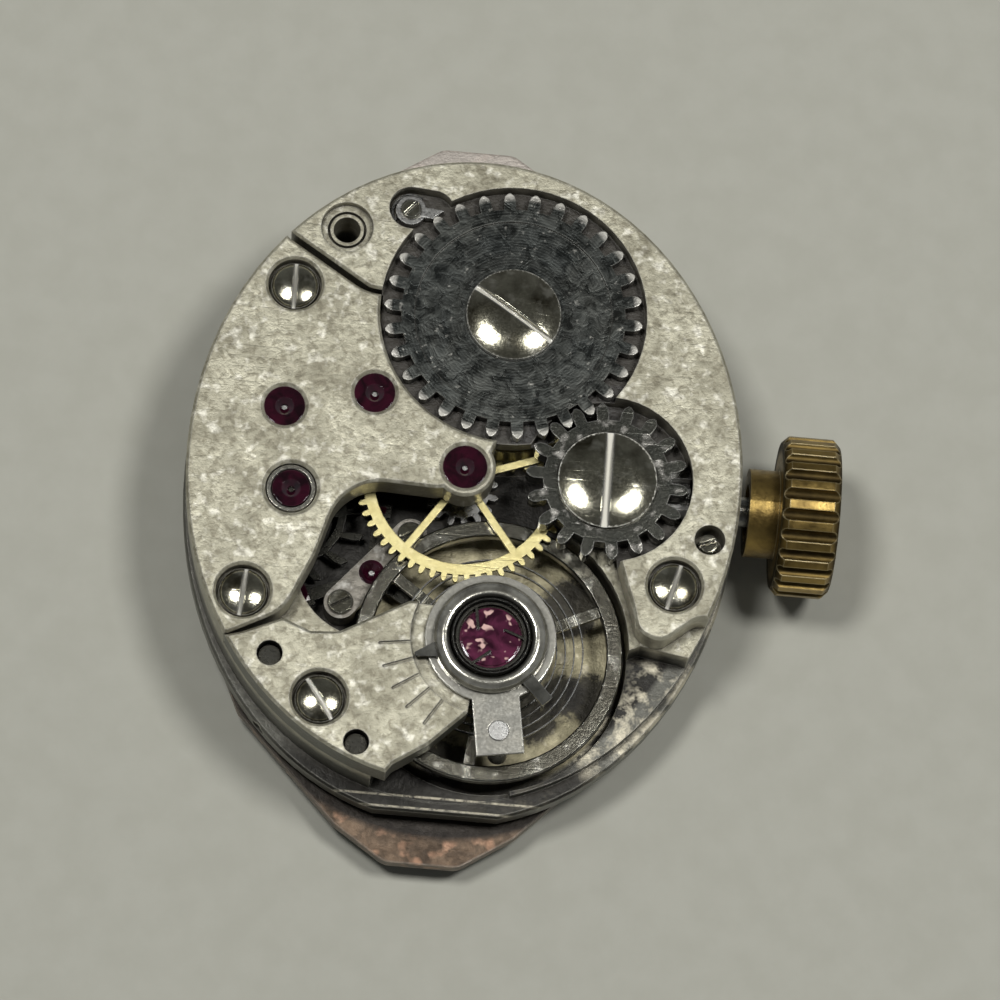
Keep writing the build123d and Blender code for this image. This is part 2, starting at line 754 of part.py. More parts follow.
# Main plate: an oval block with a flange near its foot, milled out for the barrel, train, balance
# and keyless work
with BuildPart() as main_plate:
    with BuildSketch(Plane.XY.offset(plate_z + undercut_height)):
        Ellipse(flange_half_width, flange_half_length)
        Rectangle(2 * flange_half_width, 2 * flange_flat_reach, mode=Mode.INTERSECT)
    extrude(amount=flange_thickness)
    chamfer(main_plate.edges().group_by(Axis.Z)[-1], edge_bevel)
    with BuildSketch(Plane.XY.offset(plate_z)):
        Ellipse(plate_half_width, undercut_half_length)
    extrude(amount=undercut_height + flange_thickness)
    chamfer(main_plate.edges().group_by(Axis.Z)[0], edge_bevel)
    with BuildSketch(Plane.XY.offset(plate_z + undercut_height)):
        Ellipse(plate_half_width, plate_half_length)
    extrude(amount=seat_z - plate_z - undercut_height)
    # Barrel pocket and the open field of the train and balance
    disc(at(barrel, barrel_floor_z), pocket_radius, seat_z, mode=Mode.SUBTRACT)
    disc(at(center, train_floor_z), tip_radius(center_module, center_teeth) + wall_clearance, seat_z,
         mode=Mode.SUBTRACT)
    disc(at(third, train_floor_z), tip_radius(third_module, third_teeth) + wall_clearance, seat_z,
         mode=Mode.SUBTRACT)
    disc(at(fourth, train_floor_z), tip_radius(fourth_module, fourth_teeth) + wall_clearance, seat_z,
         mode=Mode.SUBTRACT)
    disc(at(escape, train_floor_z), escape_radius + wall_clearance, seat_z, mode=Mode.SUBTRACT)
    disc(at(balance, train_floor_z), balance_pocket_radius, seat_z, mode=Mode.SUBTRACT)
    disc(at(pallet, train_floor_z), staff_distance * tan(radians(embrace_angle / 2)) * pallet_clearing_share,
         seat_z, mode=Mode.SUBTRACT)
    # The rim is open below the cock, and lower along the balance's free side
    with BuildSketch(Plane.XY.offset(train_floor_z + train_floor_web)):
        with BuildLine():
            Polyline(*scaled(rim_gap_shares), close=True)
        make_face()
    extrude(amount=seat_z, mode=Mode.SUBTRACT)
    with BuildSketch(Plane.XY.offset(pallet_bridge_z)):
        with BuildLine():
            Polyline(*scaled(rim_low_shares), close=True)
        make_face()
    extrude(amount=seat_z, mode=Mode.SUBTRACT)
    # Cavities of the winding and sliding pinions, open to the dial side
    with BuildSketch(Plane.XY.offset(plate_z - cut_overrun)):
        with Locations((winding_pinion_start + winding_pinion_length / 2, 0)):
            Rectangle(winding_pinion_length + 2 * pinion_cavity_clearance,
                      2 * (winding_pinion_radius + pinion_cavity_clearance))
        with Locations(((stem_square_start + winding_pinion_start) / 2, 0)):
            Rectangle(winding_pinion_start - stem_square_start + cut_overrun / 2,
                      2 * (sliding_pinion_radius + pinion_cavity_clearance))
    extrude(amount=seat_z + cut_overrun, mode=Mode.SUBTRACT)
    # Bore of the stem and the blind hole of its pilot
    turned_on_stem([(stem_square_start, 0), (plate_half_width + cut_overrun, 0),
                    (plate_half_width + cut_overrun, stem_radius + stem_exit_clearance),
                    (stem_square_start, stem_radius + stem_exit_clearance)], mode=Mode.SUBTRACT)
    turned_on_stem([(stem_pilot_start - wall_clearance, 0), (stem_square_start + cut_overrun, 0),
                    (stem_square_start + cut_overrun, stem_pilot_radius + stem_pilot_clearance),
                    (stem_pilot_start - wall_clearance, stem_pilot_radius + stem_pilot_clearance)],
                   mode=Mode.SUBTRACT)
    # Recess of the motion work and of the keyless work on the dial side
    disc(at(center, plate_z - cut_overrun), tip_radius(hour_module, hour_teeth) + wall_clearance,
         motion_recess_depth + cut_overrun, mode=Mode.SUBTRACT)
    disc(at(minute, plate_z - cut_overrun), tip_radius(cannon_module, minute_teeth) + wall_clearance,
         motion_recess_depth + cut_overrun, mode=Mode.SUBTRACT)
    disc(at(setting, plate_z - cut_overrun), tip_radius(cannon_module, setting_teeth) + wall_clearance,
         motion_recess_depth + cut_overrun, mode=Mode.SUBTRACT)
    strip(at(center, plate_z - cut_overrun), (groove_x, 0), (groove_x + pull_travel, 0),
          2 * (lever_pin_radius + 2 * wall_clearance), stem_z - plate_z + cut_overrun, mode=Mode.SUBTRACT)
    with BuildSketch(Plane.XY.offset(plate_z - cut_overrun)):
        with Locations(((recess_left + recess_right) / 2, (recess_low + recess_high) / 2)):
            RectangleRounded(recess_right - recess_left, recess_high - recess_low, keyless_recess_corner)
        Ellipse(plate_half_width - wall_clearance, plate_half_length - wall_clearance, mode=Mode.INTERSECT)
    extrude(amount=motion_recess_depth + cut_overrun, mode=Mode.SUBTRACT)
    # Bearings of the train and of the barrel
    disc(at(center, plate_z - cut_overrun), center_arbor_radius + part_clearance, seat_z, mode=Mode.SUBTRACT)
    for spot in (third, fourth, escape, pallet):
        disc(at(spot, lower_jewel_z), lower_jewel_radius, seat_z, mode=Mode.SUBTRACT)
        disc(at(spot, plate_z - cut_overrun), pivot_radius + arbor_radius, seat_z, mode=Mode.SUBTRACT)
    disc(at(barrel, plate_z - cut_overrun), barrel_pivot_radius + part_clearance, seat_z, mode=Mode.SUBTRACT)
    # Hole of the lower shock setting
    disc(at(balance, plate_z - cut_overrun), shock_well_radius, seat_z, mode=Mode.SUBTRACT)
    # Tapped holes of the bridge screws
    for spot in [*scaled(train_screw_places_shares), barrel_screw, cock_screw]:
        disc(at(spot, screw_tap_z), screw_shank_radius + part_clearance, seat_z, mode=Mode.SUBTRACT)
    disc(at(case_hole, top_z - case_hole_depth), case_hole_radius, seat_z, mode=Mode.SUBTRACT)
    disc(at(lever_screw, plate_z), lever_screw_radius + part_clearance, seat_z, mode=Mode.SUBTRACT)
    # Holes of the steady pins, of the dial's feet and of the screws that hold the feet
    for spot in scaled(steady_places_shares):
        disc(at(spot, seat_z - steady_pin_depth), steady_pin_radius + part_clearance / 2, seat_z,
             mode=Mode.SUBTRACT)
    for spot in dial_feet:
        disc(at(spot, plate_z - cut_overrun), dial_foot_radius + part_clearance,
             dial_foot_length + cut_overrun + part_clearance, mode=Mode.SUBTRACT)
        disc(sideways(spot, heading(center, spot), foot_screw_z), foot_screw_radius + part_clearance,
             plate_half_width, mode=Mode.SUBTRACT)
    # Posts of the minute wheel and the setting wheel, and posts that carry the yoke and the cover
    for spot in (minute, setting):
        disc(at(spot, plate_z + motion_gap), motion_post_radius, motion_recess_depth - motion_gap)
    for spot in (cover_post, yoke_pivot):
        disc(at(spot, cover_top_z), keyless_post_radius, recess_z - cover_top_z)
        disc(at(spot, cover_top_z - cut_overrun), keyless_shank_radius + part_clearance,
             keyless_thickness + cut_overrun + part_clearance, mode=Mode.SUBTRACT)
finish(main_plate, "main_plate")

# Barrel bridge, with sinks for the ratchet wheel, the crown wheel and the click
with BuildPart() as barrel_bridge:
    bridge_blank(barrel_bridge_shares, seat_z, bridge_thickness, barrel_bridge_corner)
    disc(at(barrel, seat_z), ratchet_recess_radius - bridge_gap, recess_floor_thickness)
    chamfer(barrel_bridge.faces().sort_by(Axis.Z)[-1].outer_wire().edges(), edge_bevel)
    disc(at(barrel, seat_z + recess_floor_thickness), ratchet_recess_radius, bridge_thickness,
         mode=Mode.SUBTRACT)
    strip(at(center, seat_z + recess_floor_thickness), click, click_pocket_end,
          2 * (click_radius + click_pocket_clearance), bridge_thickness, mode=Mode.SUBTRACT)
    disc(at(crown_axis, crown_floor_z), crown_recess_radius, bridge_thickness, mode=Mode.SUBTRACT)
    disc(at(crown_axis, seat_z), crown_boss_radius, crown_floor_thickness)
    disc(at(crown_axis, crown_floor_z), crown_post_radius, crown_wheel_thickness + part_clearance * 3)
    disc(at(crown_axis, seat_z), winding_screw_shank_radius + part_clearance, bridge_thickness,
         mode=Mode.SUBTRACT)
    # Slot over the winding pinion
    with BuildSketch(Plane.XY.offset(seat_z - cut_overrun)):
        with Locations((winding_pinion_start + winding_pinion_length / 2, 0)):
            Rectangle(winding_pinion_length + 2 * pinion_cavity_clearance, pinion_window_width)
    extrude(amount=crown_floor_thickness + 2 * cut_overrun, mode=Mode.SUBTRACT)
    disc(at(barrel, seat_z - cut_overrun), barrel_bearing_radius + part_clearance, seat_z, mode=Mode.SUBTRACT)
    screw_pocket(barrel_screw, seat_z)
    turned(case_hole, [(0, seat_z - cut_overrun), (case_hole_radius, seat_z - cut_overrun),
                       (case_hole_radius, top_z - case_inner_ring_depth),
                       (case_inner_ring_radius, top_z - case_inner_ring_depth),
                       (case_inner_ring_radius, top_z - case_counterbore_depth),
                       (case_counterbore_radius, top_z - case_counterbore_depth),
                       (case_counterbore_radius, top_z + cut_overrun), (0, top_z + cut_overrun)],
           mode=Mode.SUBTRACT)
    turned(case_hole, [(case_hole_radius, top_z - case_inner_ring_depth),
                       (case_inner_ring_radius - wall_clearance, top_z - case_inner_ring_depth),
                       (case_inner_ring_radius - wall_clearance, top_z - case_counterbore_depth),
                       (case_hole_radius, top_z - case_counterbore_depth)])
    disc(at(lever_screw, seat_z - cut_overrun), lever_screw_window_radius, seat_z, mode=Mode.SUBTRACT)
finish(barrel_bridge, "barrel_bridge")

# Train bridge
with BuildPart() as train_bridge:
    bridge_blank(train_bridge_shares, seat_z, bridge_thickness, train_bridge_corner)
    chamfer(train_bridge.faces().sort_by(Axis.Z)[-1].outer_wire().edges(), edge_bevel)
    turned(center, [(0, seat_z), (bridge_tip_radius, seat_z), (bridge_tip_radius, top_z - edge_bevel),
                    (bridge_tip_radius - edge_bevel, top_z), (0, top_z)])
    turned(barrel, [(0, seat_z - cut_overrun), (ratchet_recess_radius, seat_z - cut_overrun),
                    (ratchet_recess_radius, top_z - edge_bevel), (ratchet_recess_radius + edge_bevel, top_z),
                    (ratchet_recess_radius + edge_bevel, top_z + cut_overrun), (0, top_z + cut_overrun)],
           mode=Mode.SUBTRACT)
    jewel_seat(center, center_jewel_radius, seat_z, top_z)
    jewel_seat(third, train_jewel_radius, seat_z, top_z)
    jewel_seat(fourth, train_jewel_radius, seat_z, top_z)
    jewel_seat(escape, chaton_radius, seat_z, top_z)
    disc(at(center, seat_z - cut_overrun), center_arbor_radius + 2 * part_clearance, 2 * cut_overrun,
         mode=Mode.SUBTRACT)
    for spot in scaled(train_screw_places_shares):
        screw_pocket(spot, seat_z)
finish(train_bridge, "train_bridge")

# Balance cock: a foot on the plate and a lower round arm over the balance
with BuildPart() as balance_cock:
    bridge_blank(cock_foot_shares, seat_z, bridge_thickness, cock_corner)
    chamfer(balance_cock.faces().sort_by(Axis.Z)[-1].outer_wire().edges(), edge_bevel)
    disc(at(balance, seat_z - cut_overrun), balance_pocket_radius, cut_overrun + cock_arm_lift,
         mode=Mode.SUBTRACT)
    disc(at(balance, cock_disc_top), regulator_recess_radius, bridge_thickness, mode=Mode.SUBTRACT)
    disc(at(balance, cock_arm_z), cock_disc_radius, cock_disc_top - cock_arm_z)
    disc(at(balance, cock_arm_z - cut_overrun), shock_block_radius, bridge_thickness + cut_overrun,
         mode=Mode.SUBTRACT)
    screw_pocket(cock_screw, seat_z)
    for spot in scaled(steady_places_shares):
        disc(at(spot, seat_z - cut_overrun), steady_hole_radius, seat_z, mode=Mode.SUBTRACT)
    # Engraved ticks beside the regulator
    for tick in range(tick_count):
        tick_angle = tick_middle_angle + (tick - (tick_count - 1) / 2) * tick_step
        strip(at(balance, top_z - tick_depth, tick_angle), (regulator_recess_radius, 0), (tick_reach, 0),
              tick_width, cut_overrun, mode=Mode.SUBTRACT)
finish(balance_cock, "balance_cock")

# Pallet bridge, lying under the balance
with BuildPart() as pallet_bridge:
    with BuildSketch(Plane.XY.offset(pallet_bridge_z)):
        with Locations(pallet):
            Circle(pallet_bridge_width / 2)
        for foot in pallet_feet:
            with Locations(((pallet[0] + foot[0]) / 2, (pallet[1] + foot[1]) / 2)):
                SlotCenterToCenter(distance(pallet, foot), pallet_bridge_width, rotation=pallet_foot_angle)
    extrude(amount=pallet_bridge_thickness)
    for foot in pallet_feet:
        disc(at(foot, train_floor_z), pallet_bridge_width / 2, pallet_bridge_z - train_floor_z)
        disc(at(foot, train_floor_z + wall_clearance), pallet_screw_shank_radius + part_clearance, seat_z,
             mode=Mode.SUBTRACT)
    disc(at(pallet, pallet_bridge_z), pallet_jewel_radius, seat_z, mode=Mode.SUBTRACT)
finish(pallet_bridge, "pallet_bridge")

# Steady pins of the cock, and the pins that bank the lever
bank_root = towards(pallet, lever_angle, lever_length * banking_pin_reach_share)
with BuildPart() as plate_pins:
    for spot in scaled(steady_places_shares):
        disc(at(spot, seat_z - steady_pin_depth), steady_pin_radius, steady_pin_depth + steady_pin_rise)
    for turn in (90, -90):
        disc(at(towards(bank_root, lever_angle + turn, banking_pin_offset), train_floor_z), banking_pin_radius,
             escape_z + escape_wheel_thickness - train_floor_z)
finish(plate_pins, "plate_pins")

# Stones of the train bridge and of the pallet bridge
jewel_bore = pivot_radius + running_clearance
with BuildPart() as bridge_jewels:
    jewel(center, jewel_z, center_jewel_radius, jewel_thickness, jewel_bore)
    for spot in (third, fourth):
        jewel(spot, jewel_z, train_jewel_radius, jewel_thickness, jewel_bore)
    jewel(escape, jewel_z, escape_jewel_radius, jewel_thickness, jewel_bore)
    jewel(pallet, pallet_bridge_z, pallet_jewel_radius, pallet_bridge_thickness, jewel_bore)
finish(bridge_jewels, "bridge_jewels")

with BuildPart() as escape_chaton:
    disc(at(escape, jewel_z), chaton_radius, jewel_thickness, bore=escape_jewel_radius)
    chamfer(escape_chaton.edges().group_by(Axis.Z)[-1], (chaton_radius - escape_jewel_radius) / 4)
finish(escape_chaton, "escape_chaton")

# Stones of the plate
with BuildPart() as plate_jewels:
    for spot in (third, fourth, escape, pallet):
        jewel(spot, lower_jewel_z, lower_jewel_radius, lower_jewel_thickness, jewel_bore, sink_above=False)
finish(plate_jewels, "plate_jewels")

# Screws that hold the bridges and the cock
large_screws = [
    *zip(scaled(train_screw_places_shares), train_slot_angles),
    (barrel_screw, barrel_slot_angle),
    (cock_screw, cock_slot_angle),
]
with BuildPart() as bridge_screws:
    for spot, angle in large_screws:
        screw(spot, top_z - screw_recess_depth, screw_head_radius, screw_head_height, screw_shank_radius,
              screw_grip, angle, screw_slot_width, screw_slot_depth)
finish(bridge_screws, "bridge_screws")

# Small screws: two of the pallet bridge, the click's, two of the cover and two that hold the dial's feet
with BuildPart() as small_screws:
    for foot in pallet_feet:
        screw(foot, pallet_bridge_z + pallet_bridge_thickness, pallet_screw_radius, pallet_screw_height,
              pallet_screw_shank_radius, pallet_screw_grip, pallet_slot_angle, small_slot_width,
              small_slot_depth)
    screw(click, ratchet_z + click_thickness + part_clearance, click_screw_radius, click_screw_height,
          click_screw_shank_radius, click_thickness + 2 * part_clearance, click_slot_angle, small_slot_width,
          small_slot_depth)
    for spot in (cover_post, yoke_pivot):
        screw_under(spot, cover_z + keyless_screw_height, keyless_screw_radius, keyless_screw_height,
                    keyless_shank_radius, keyless_thickness, 0, small_slot_width, keyless_screw_height / 2)
    for spot in dial_feet:
        angle = heading(center, spot)
        start = dial_foot_radius + 2 * part_clearance
        length = rim_reach(angle) - distance(center, spot) - start - foot_screw_sink
        disc(sideways(towards(spot, angle, start), angle, foot_screw_z), foot_screw_radius, length)
        slot_spot = towards(spot, angle, start + length - small_slot_depth)
        with BuildSketch(sideways(slot_spot, angle, foot_screw_z)) as slot:
            Rectangle(small_slot_width, 2 * foot_screw_radius + cut_overrun)
        extrude(slot.sketch, amount=cut_overrun, mode=Mode.SUBTRACT)
finish(small_screws, "small_screws")

# Barrel: toothed drum, cover, arbor and mainspring
barrel_outer = root_radius(barrel_module, barrel_teeth) - part_clearance
with BuildPart() as barrel_drum:
    gear(at(barrel, barrel_z), tooth_outline(barrel_module, barrel_teeth), barrel_tooth_height)
    disc(at(barrel, barrel_z + barrel_tooth_height), barrel_outer,
         barrel_top_z - barrel_z - barrel_tooth_height)
    disc(at(barrel, barrel_z + barrel_base_thickness), barrel_outer - barrel_wall, seat_z, mode=Mode.SUBTRACT)
    disc(at(barrel, barrel_z - cut_overrun), barrel_bearing_radius + part_clearance, seat_z, mode=Mode.SUBTRACT)
finish(barrel_drum, "barrel_drum")

barrel_cover_z = barrel_top_z - barrel_cover_thickness
with BuildPart() as barrel_cover:
    disc(at(barrel, barrel_cover_z), barrel_outer - barrel_wall, barrel_cover_thickness,
         bore=barrel_bearing_radius + part_clearance)
finish(barrel_cover, "barrel_cover")

ratchet_top_z = ratchet_z + ratchet_thickness
with BuildPart() as barrel_arbor:
    turned(barrel, [(0, barrel_z - barrel_pivot_length), (barrel_pivot_radius, barrel_z - barrel_pivot_length),
                    (barrel_pivot_radius, barrel_z), (barrel_bearing_radius, barrel_z),
                    (barrel_bearing_radius, barrel_z + barrel_base_thickness + part_clearance),
                    (barrel_arbor_radius, barrel_z + barrel_base_thickness + part_clearance),
                    (barrel_arbor_radius, barrel_cover_z - part_clearance),
                    (barrel_bearing_radius, barrel_cover_z - part_clearance), (barrel_bearing_radius, ratchet_z),
                    (0, ratchet_z)])
    with BuildSketch(at(barrel, ratchet_z)):
        Rectangle(barrel_square_side, barrel_square_side)
    extrude(amount=ratchet_thickness - part_clearance)
    disc(at(barrel, ratchet_z - winding_screw_shank_radius), winding_screw_shank_radius + part_clearance / 2,
         seat_z, mode=Mode.SUBTRACT)
finish(barrel_arbor, "barrel_arbor")

mainspring_start = barrel_arbor_radius + mainspring_strip / 2 + part_clearance
mainspring_end = barrel_outer - barrel_wall - mainspring_strip / 2 - part_clearance
mainspring_pitch = (mainspring_end - mainspring_start) / mainspring_turns
with BuildPart() as mainspring:
    mainspring_gap = spiral_strip(
        at(barrel, barrel_z + barrel_base_thickness + mainspring_side_gap), mainspring_start, mainspring_pitch,
        mainspring_turns,
        mainspring_strip, barrel_cover_z - barrel_z - barrel_base_thickness - 2 * mainspring_side_gap)
finish(mainspring, "mainspring")

# Ratchet wheel and its screw
dish_radius = root_radius(winding_module, ratchet_teeth) * ratchet_dish_radius_share
with BuildPart() as ratchet_wheel:
    gear(at(barrel, ratchet_z), tooth_outline(winding_module, ratchet_teeth), ratchet_thickness)
    with BuildSketch(at(barrel, ratchet_z - cut_overrun)):
        Rectangle(barrel_square_side + part_clearance / 2, barrel_square_side + part_clearance / 2)
    extrude(amount=seat_z, mode=Mode.SUBTRACT)
    # A shallow turned dish inside the toothed edge
    turned(barrel, [(ratchet_screw_radius + part_clearance, ratchet_top_z - ratchet_dish_depth),
                    (dish_radius, ratchet_top_z - ratchet_dish_depth),
                    (dish_radius + ratchet_dish_rim, ratchet_top_z + cut_overrun),
                    (ratchet_screw_radius + part_clearance, ratchet_top_z + cut_overrun)], mode=Mode.SUBTRACT)
finish(ratchet_wheel, "ratchet_wheel")

with BuildPart() as ratchet_screw:
    screw(barrel, ratchet_top_z, ratchet_screw_radius, ratchet_screw_height, winding_screw_shank_radius,
          ratchet_thickness + winding_screw_shank_radius / 2, ratchet_slot_angle, large_slot_width,
          large_slot_depth)
finish(ratchet_screw, "ratchet_screw")

# Crown wheel on its post, and its screw
crown_turn = mesh_turn(barrel, ratchet_teeth, 0, crown_axis, crown_wheel_teeth)
with BuildPart() as crown_wheel:
    gear(at(crown_axis, crown_wheel_z), tooth_outline(winding_module, crown_wheel_teeth, crown_turn),
         crown_wheel_thickness, bore=crown_post_radius + running_clearance)
finish(crown_wheel, "crown_wheel")

with BuildPart() as crown_wheel_screw:
    screw(crown_axis, crown_floor_z + crown_wheel_thickness + part_clearance * 3, crown_screw_radius,
          crown_screw_height, winding_screw_shank_radius, crown_wheel_thickness, crown_slot_angle,
          large_slot_width, large_slot_depth)
finish(crown_wheel_screw, "crown_wheel_screw")

# Click, with its beak in the ratchet's teeth
with BuildPart() as click_lever:
    disc(at(click, ratchet_z), click_radius, click_thickness)
    strip(at(center, ratchet_z), click, beak_tip, click_beak_width, click_thickness)
    disc(at(barrel, ratchet_z - cut_overrun), tip_radius(winding_module, ratchet_teeth) + part_clearance,
         seat_z, mode=Mode.SUBTRACT)
    disc(at(click, ratchet_z - cut_overrun), click_screw_shank_radius + running_clearance, seat_z,
         mode=Mode.SUBTRACT)
finish(click_lever, "click")

# Click spring: a wire bent round the click, with a foot in the bridge
click_floor_z = seat_z + recess_floor_thickness
spring_radius = click_radius + click_pocket_clearance / 2
with BuildPart() as click_spring:
    with BuildSketch(at(click, click_floor_z, click_to_ratchet + click_spring_start)) as wire:
        inner, outer = spring_radius - click_spring_wire / 2, spring_radius + click_spring_wire / 2
        with BuildLine():
            CenterArc(center, inner, 0, click_spring_sweep)
            CenterArc(center, outer, 0, click_spring_sweep)
            Line((inner, 0), (outer, 0))
            Line(towards(center, click_spring_sweep, inner), towards(center, click_spring_sweep, outer))
        make_face()
    extrude(wire.sketch, amount=click_spring_height)
    spring_foot_spot = towards(click, click_to_ratchet + click_spring_start + click_spring_sweep, spring_radius)
    disc(at(spring_foot_spot, click_floor_z), click_foot_radius, click_spring_height)
finish(click_spring, "click_spring")

# Going train wheels and pinions
center_hub_radius = center_arbor_radius + wheel_hub_extra
with BuildPart() as center_wheel:
    spoked_gear(at(center, center_z), tooth_outline(center_module, center_teeth), center_wheel_thickness,
                center_arbor_radius, center_hub_radius, root_radius(center_module, center_teeth) - rim_width,
                center_arms, arm_width, center_arm_turn)
finish(center_wheel, "center_wheel")

center_pinion_turn = mesh_turn(barrel, barrel_teeth, 0, center, center_pinion_leaves)
center_pinion_top = barrel_z + barrel_tooth_height + pinion_overlap
cannon_end_z = -hour_below_dial - cannon_seat_length
with BuildPart() as center_pinion:
    gear(at(center, train_floor_z + part_clearance),
         tooth_outline(barrel_module, center_pinion_leaves, center_pinion_turn),
         center_pinion_top - train_floor_z - part_clearance)
    turned(center, [(0, cannon_end_z + center_tail_sink), (center_tail_radius, cannon_end_z + center_tail_sink),
                    (center_tail_radius, recess_z), (center_arbor_radius, recess_z),
                    (center_arbor_radius, center_z + center_wheel_thickness + hub_collar_height),
                    (pivot_radius, center_z + center_wheel_thickness + hub_collar_height),
                    (pivot_radius, jewel_top_z - jewel_sink_depth), (0, jewel_top_z - jewel_sink_depth)])
finish(center_pinion, "center_pinion")

train_hub_radius = arbor_radius + wheel_hub_extra
with BuildPart() as third_wheel:
    spoked_gear(at(third, third_z), tooth_outline(third_module, third_teeth), train_wheel_thickness,
                arbor_radius, train_hub_radius, root_radius(third_module, third_teeth) - rim_width,
                train_arms, arm_width)
finish(third_wheel, "third_wheel")

upper_shoulder_z = jewel_z - part_clearance
lower_shoulder_z = train_floor_z + part_clearance
upper_pivot = jewel_thickness * pivot_depth_share
lower_pivot = lower_jewel_thickness * pivot_depth_share
with BuildPart() as third_pinion:
    arbor(third, lower_shoulder_z, upper_shoulder_z, arbor_radius, lower_pivot, upper_pivot)
    gear(at(third, third_z + train_wheel_thickness),
         tooth_outline(center_module, third_pinion_leaves,
                       mesh_turn(center, center_teeth, 0, third, third_pinion_leaves)),
         center_z + center_wheel_thickness + pinion_overlap - third_z - train_wheel_thickness)
finish(third_pinion, "third_pinion")

with BuildPart() as fourth_wheel:
    spoked_gear(at(fourth, fourth_z), tooth_outline(fourth_module, fourth_teeth), train_wheel_thickness,
                arbor_radius, train_hub_radius, root_radius(fourth_module, fourth_teeth) - rim_width,
                train_arms, arm_width)
finish(fourth_wheel, "fourth_wheel")

with BuildPart() as fourth_pinion:
    arbor(fourth, lower_shoulder_z, upper_shoulder_z, arbor_radius, lower_pivot, upper_pivot)
    gear(at(fourth, third_z - pinion_overlap),
         tooth_outline(third_module, fourth_pinion_leaves,
                       mesh_turn(third, third_teeth, 0, fourth, fourth_pinion_leaves)),
         train_wheel_thickness + 2 * pinion_overlap)
finish(fourth_pinion, "fourth_pinion")


def escape_outline():
    # Club-shaped teeth that lean towards the direction of turning.
    step = 360 / escape_teeth
    root = escape_radius - escape_tooth_depth
    return [
        towards(center, step * (index + turn), root + escape_tooth_depth * rise)
        for index in range(escape_teeth)
        for rise, turn in escape_tooth_shares
    ]


with BuildPart() as escape_wheel:
    spoked_gear(at(escape, escape_z), escape_outline(), escape_wheel_thickness, arbor_radius,
                train_hub_radius, escape_radius - escape_tooth_depth - escape_rim_width, escape_arms,
                escape_arm_width)
finish(escape_wheel, "escape_wheel")

with BuildPart() as escape_pinion:
    arbor(escape, lower_shoulder_z, upper_shoulder_z, arbor_radius, lower_pivot, upper_pivot)
    gear(at(escape, fourth_z - floor_gap / 2),
         tooth_outline(fourth_module, escape_pinion_leaves,
                       mesh_turn(fourth, fourth_teeth, 0, escape, escape_pinion_leaves)),
         train_wheel_thickness + floor_gap)
finish(escape_pinion, "escape_pinion")

# Pallet fork: an anchor round the escape wheel and a lever to the balance
stone_offset = pallet_stone_length / 2 + pallet_lock
stone_places = [
    towards(escape, pallet_line_angle + side * embrace_angle / 2, escape_radius) for side in (1, -1)
]
stone_angles = [pallet_line_angle + side * (embrace_angle / 2 - pallet_stone_lean) for side in (1, -1)]
stone_seats = [towards(spot, angle, stone_offset) for spot, angle in zip(stone_places, stone_angles)]
stone_seat_end = pallet_stone_length * pallet_seat_depth_share
with BuildPart() as pallet_fork:
    disc(at(pallet, escape_z), pallet_hub_radius, escape_wheel_thickness)
    for seat, angle in zip(stone_seats, stone_angles):
        strip(at(center, escape_z), pallet, seat, pallet_arm_width, escape_wheel_thickness)
        with BuildSketch(at(seat, escape_z, angle)) as seat_face:
            Rectangle(pallet_stone_length, pallet_seat_width)
        extrude(seat_face.sketch, amount=escape_wheel_thickness)
    outline(at(pallet, escape_z, lever_angle),
            [(0, -lever_root_width / 2), (lever_length - fork_horn_length, -lever_tip_width / 2),
             (lever_length - fork_horn_length / 2, -fork_horn_width / 2),
             (lever_length + fork_horn_length / 3, -fork_horn_width / 2),
             (lever_length + fork_horn_length / 3, fork_horn_width / 2),
             (lever_length - fork_horn_length / 2, fork_horn_width / 2),
             (lever_length - fork_horn_length, lever_tip_width / 2), (0, lever_root_width / 2)],
            escape_wheel_thickness)
    # Notch for the impulse jewel
    strip(at(pallet, escape_z - cut_overrun, lever_angle), (lever_length - part_clearance, 0),
          (lever_length + fork_horn_length * 2, 0), fork_slot_width, seat_z, mode=Mode.SUBTRACT)
    # Slots for the stones, and the hole of the staff
    for seat, angle in zip(stone_seats, stone_angles):
        outline(at(seat, escape_z - cut_overrun, angle),
                [(-cut_overrun, -pallet_stone_width / 2), (stone_seat_end, -pallet_stone_width / 2),
                 (stone_seat_end, pallet_stone_width / 2), (-cut_overrun, pallet_stone_width / 2)],
                seat_z, mode=Mode.SUBTRACT)
    disc(at(pallet, escape_z - cut_overrun), pallet_staff_radius, seat_z, mode=Mode.SUBTRACT)
    disc(at(escape, escape_z - cut_overrun), escape_radius + pallet_lock, seat_z, mode=Mode.SUBTRACT)
finish(pallet_fork, "pallet_fork")

with BuildPart() as pallet_stones:
    for seat, angle in zip(stone_seats, stone_angles):
        outline(at(seat, escape_z, angle),
                [(-stone_offset - pallet_lock, -pallet_stone_width / 2),
                 (stone_seat_end, -pallet_stone_width / 2),
                 (stone_seat_end, pallet_stone_width / 2), (-stone_offset, pallet_stone_width / 2)],
                escape_wheel_thickness)
finish(pallet_stones, "pallet_stones")

with BuildPart() as pallet_staff:
    arbor(pallet, train_floor_z + part_clearance, pallet_bridge_z - part_clearance, pallet_staff_radius,
          lower_pivot, pallet_bridge_thickness * pivot_depth_share)
finish(pallet_staff, "pallet_staff")

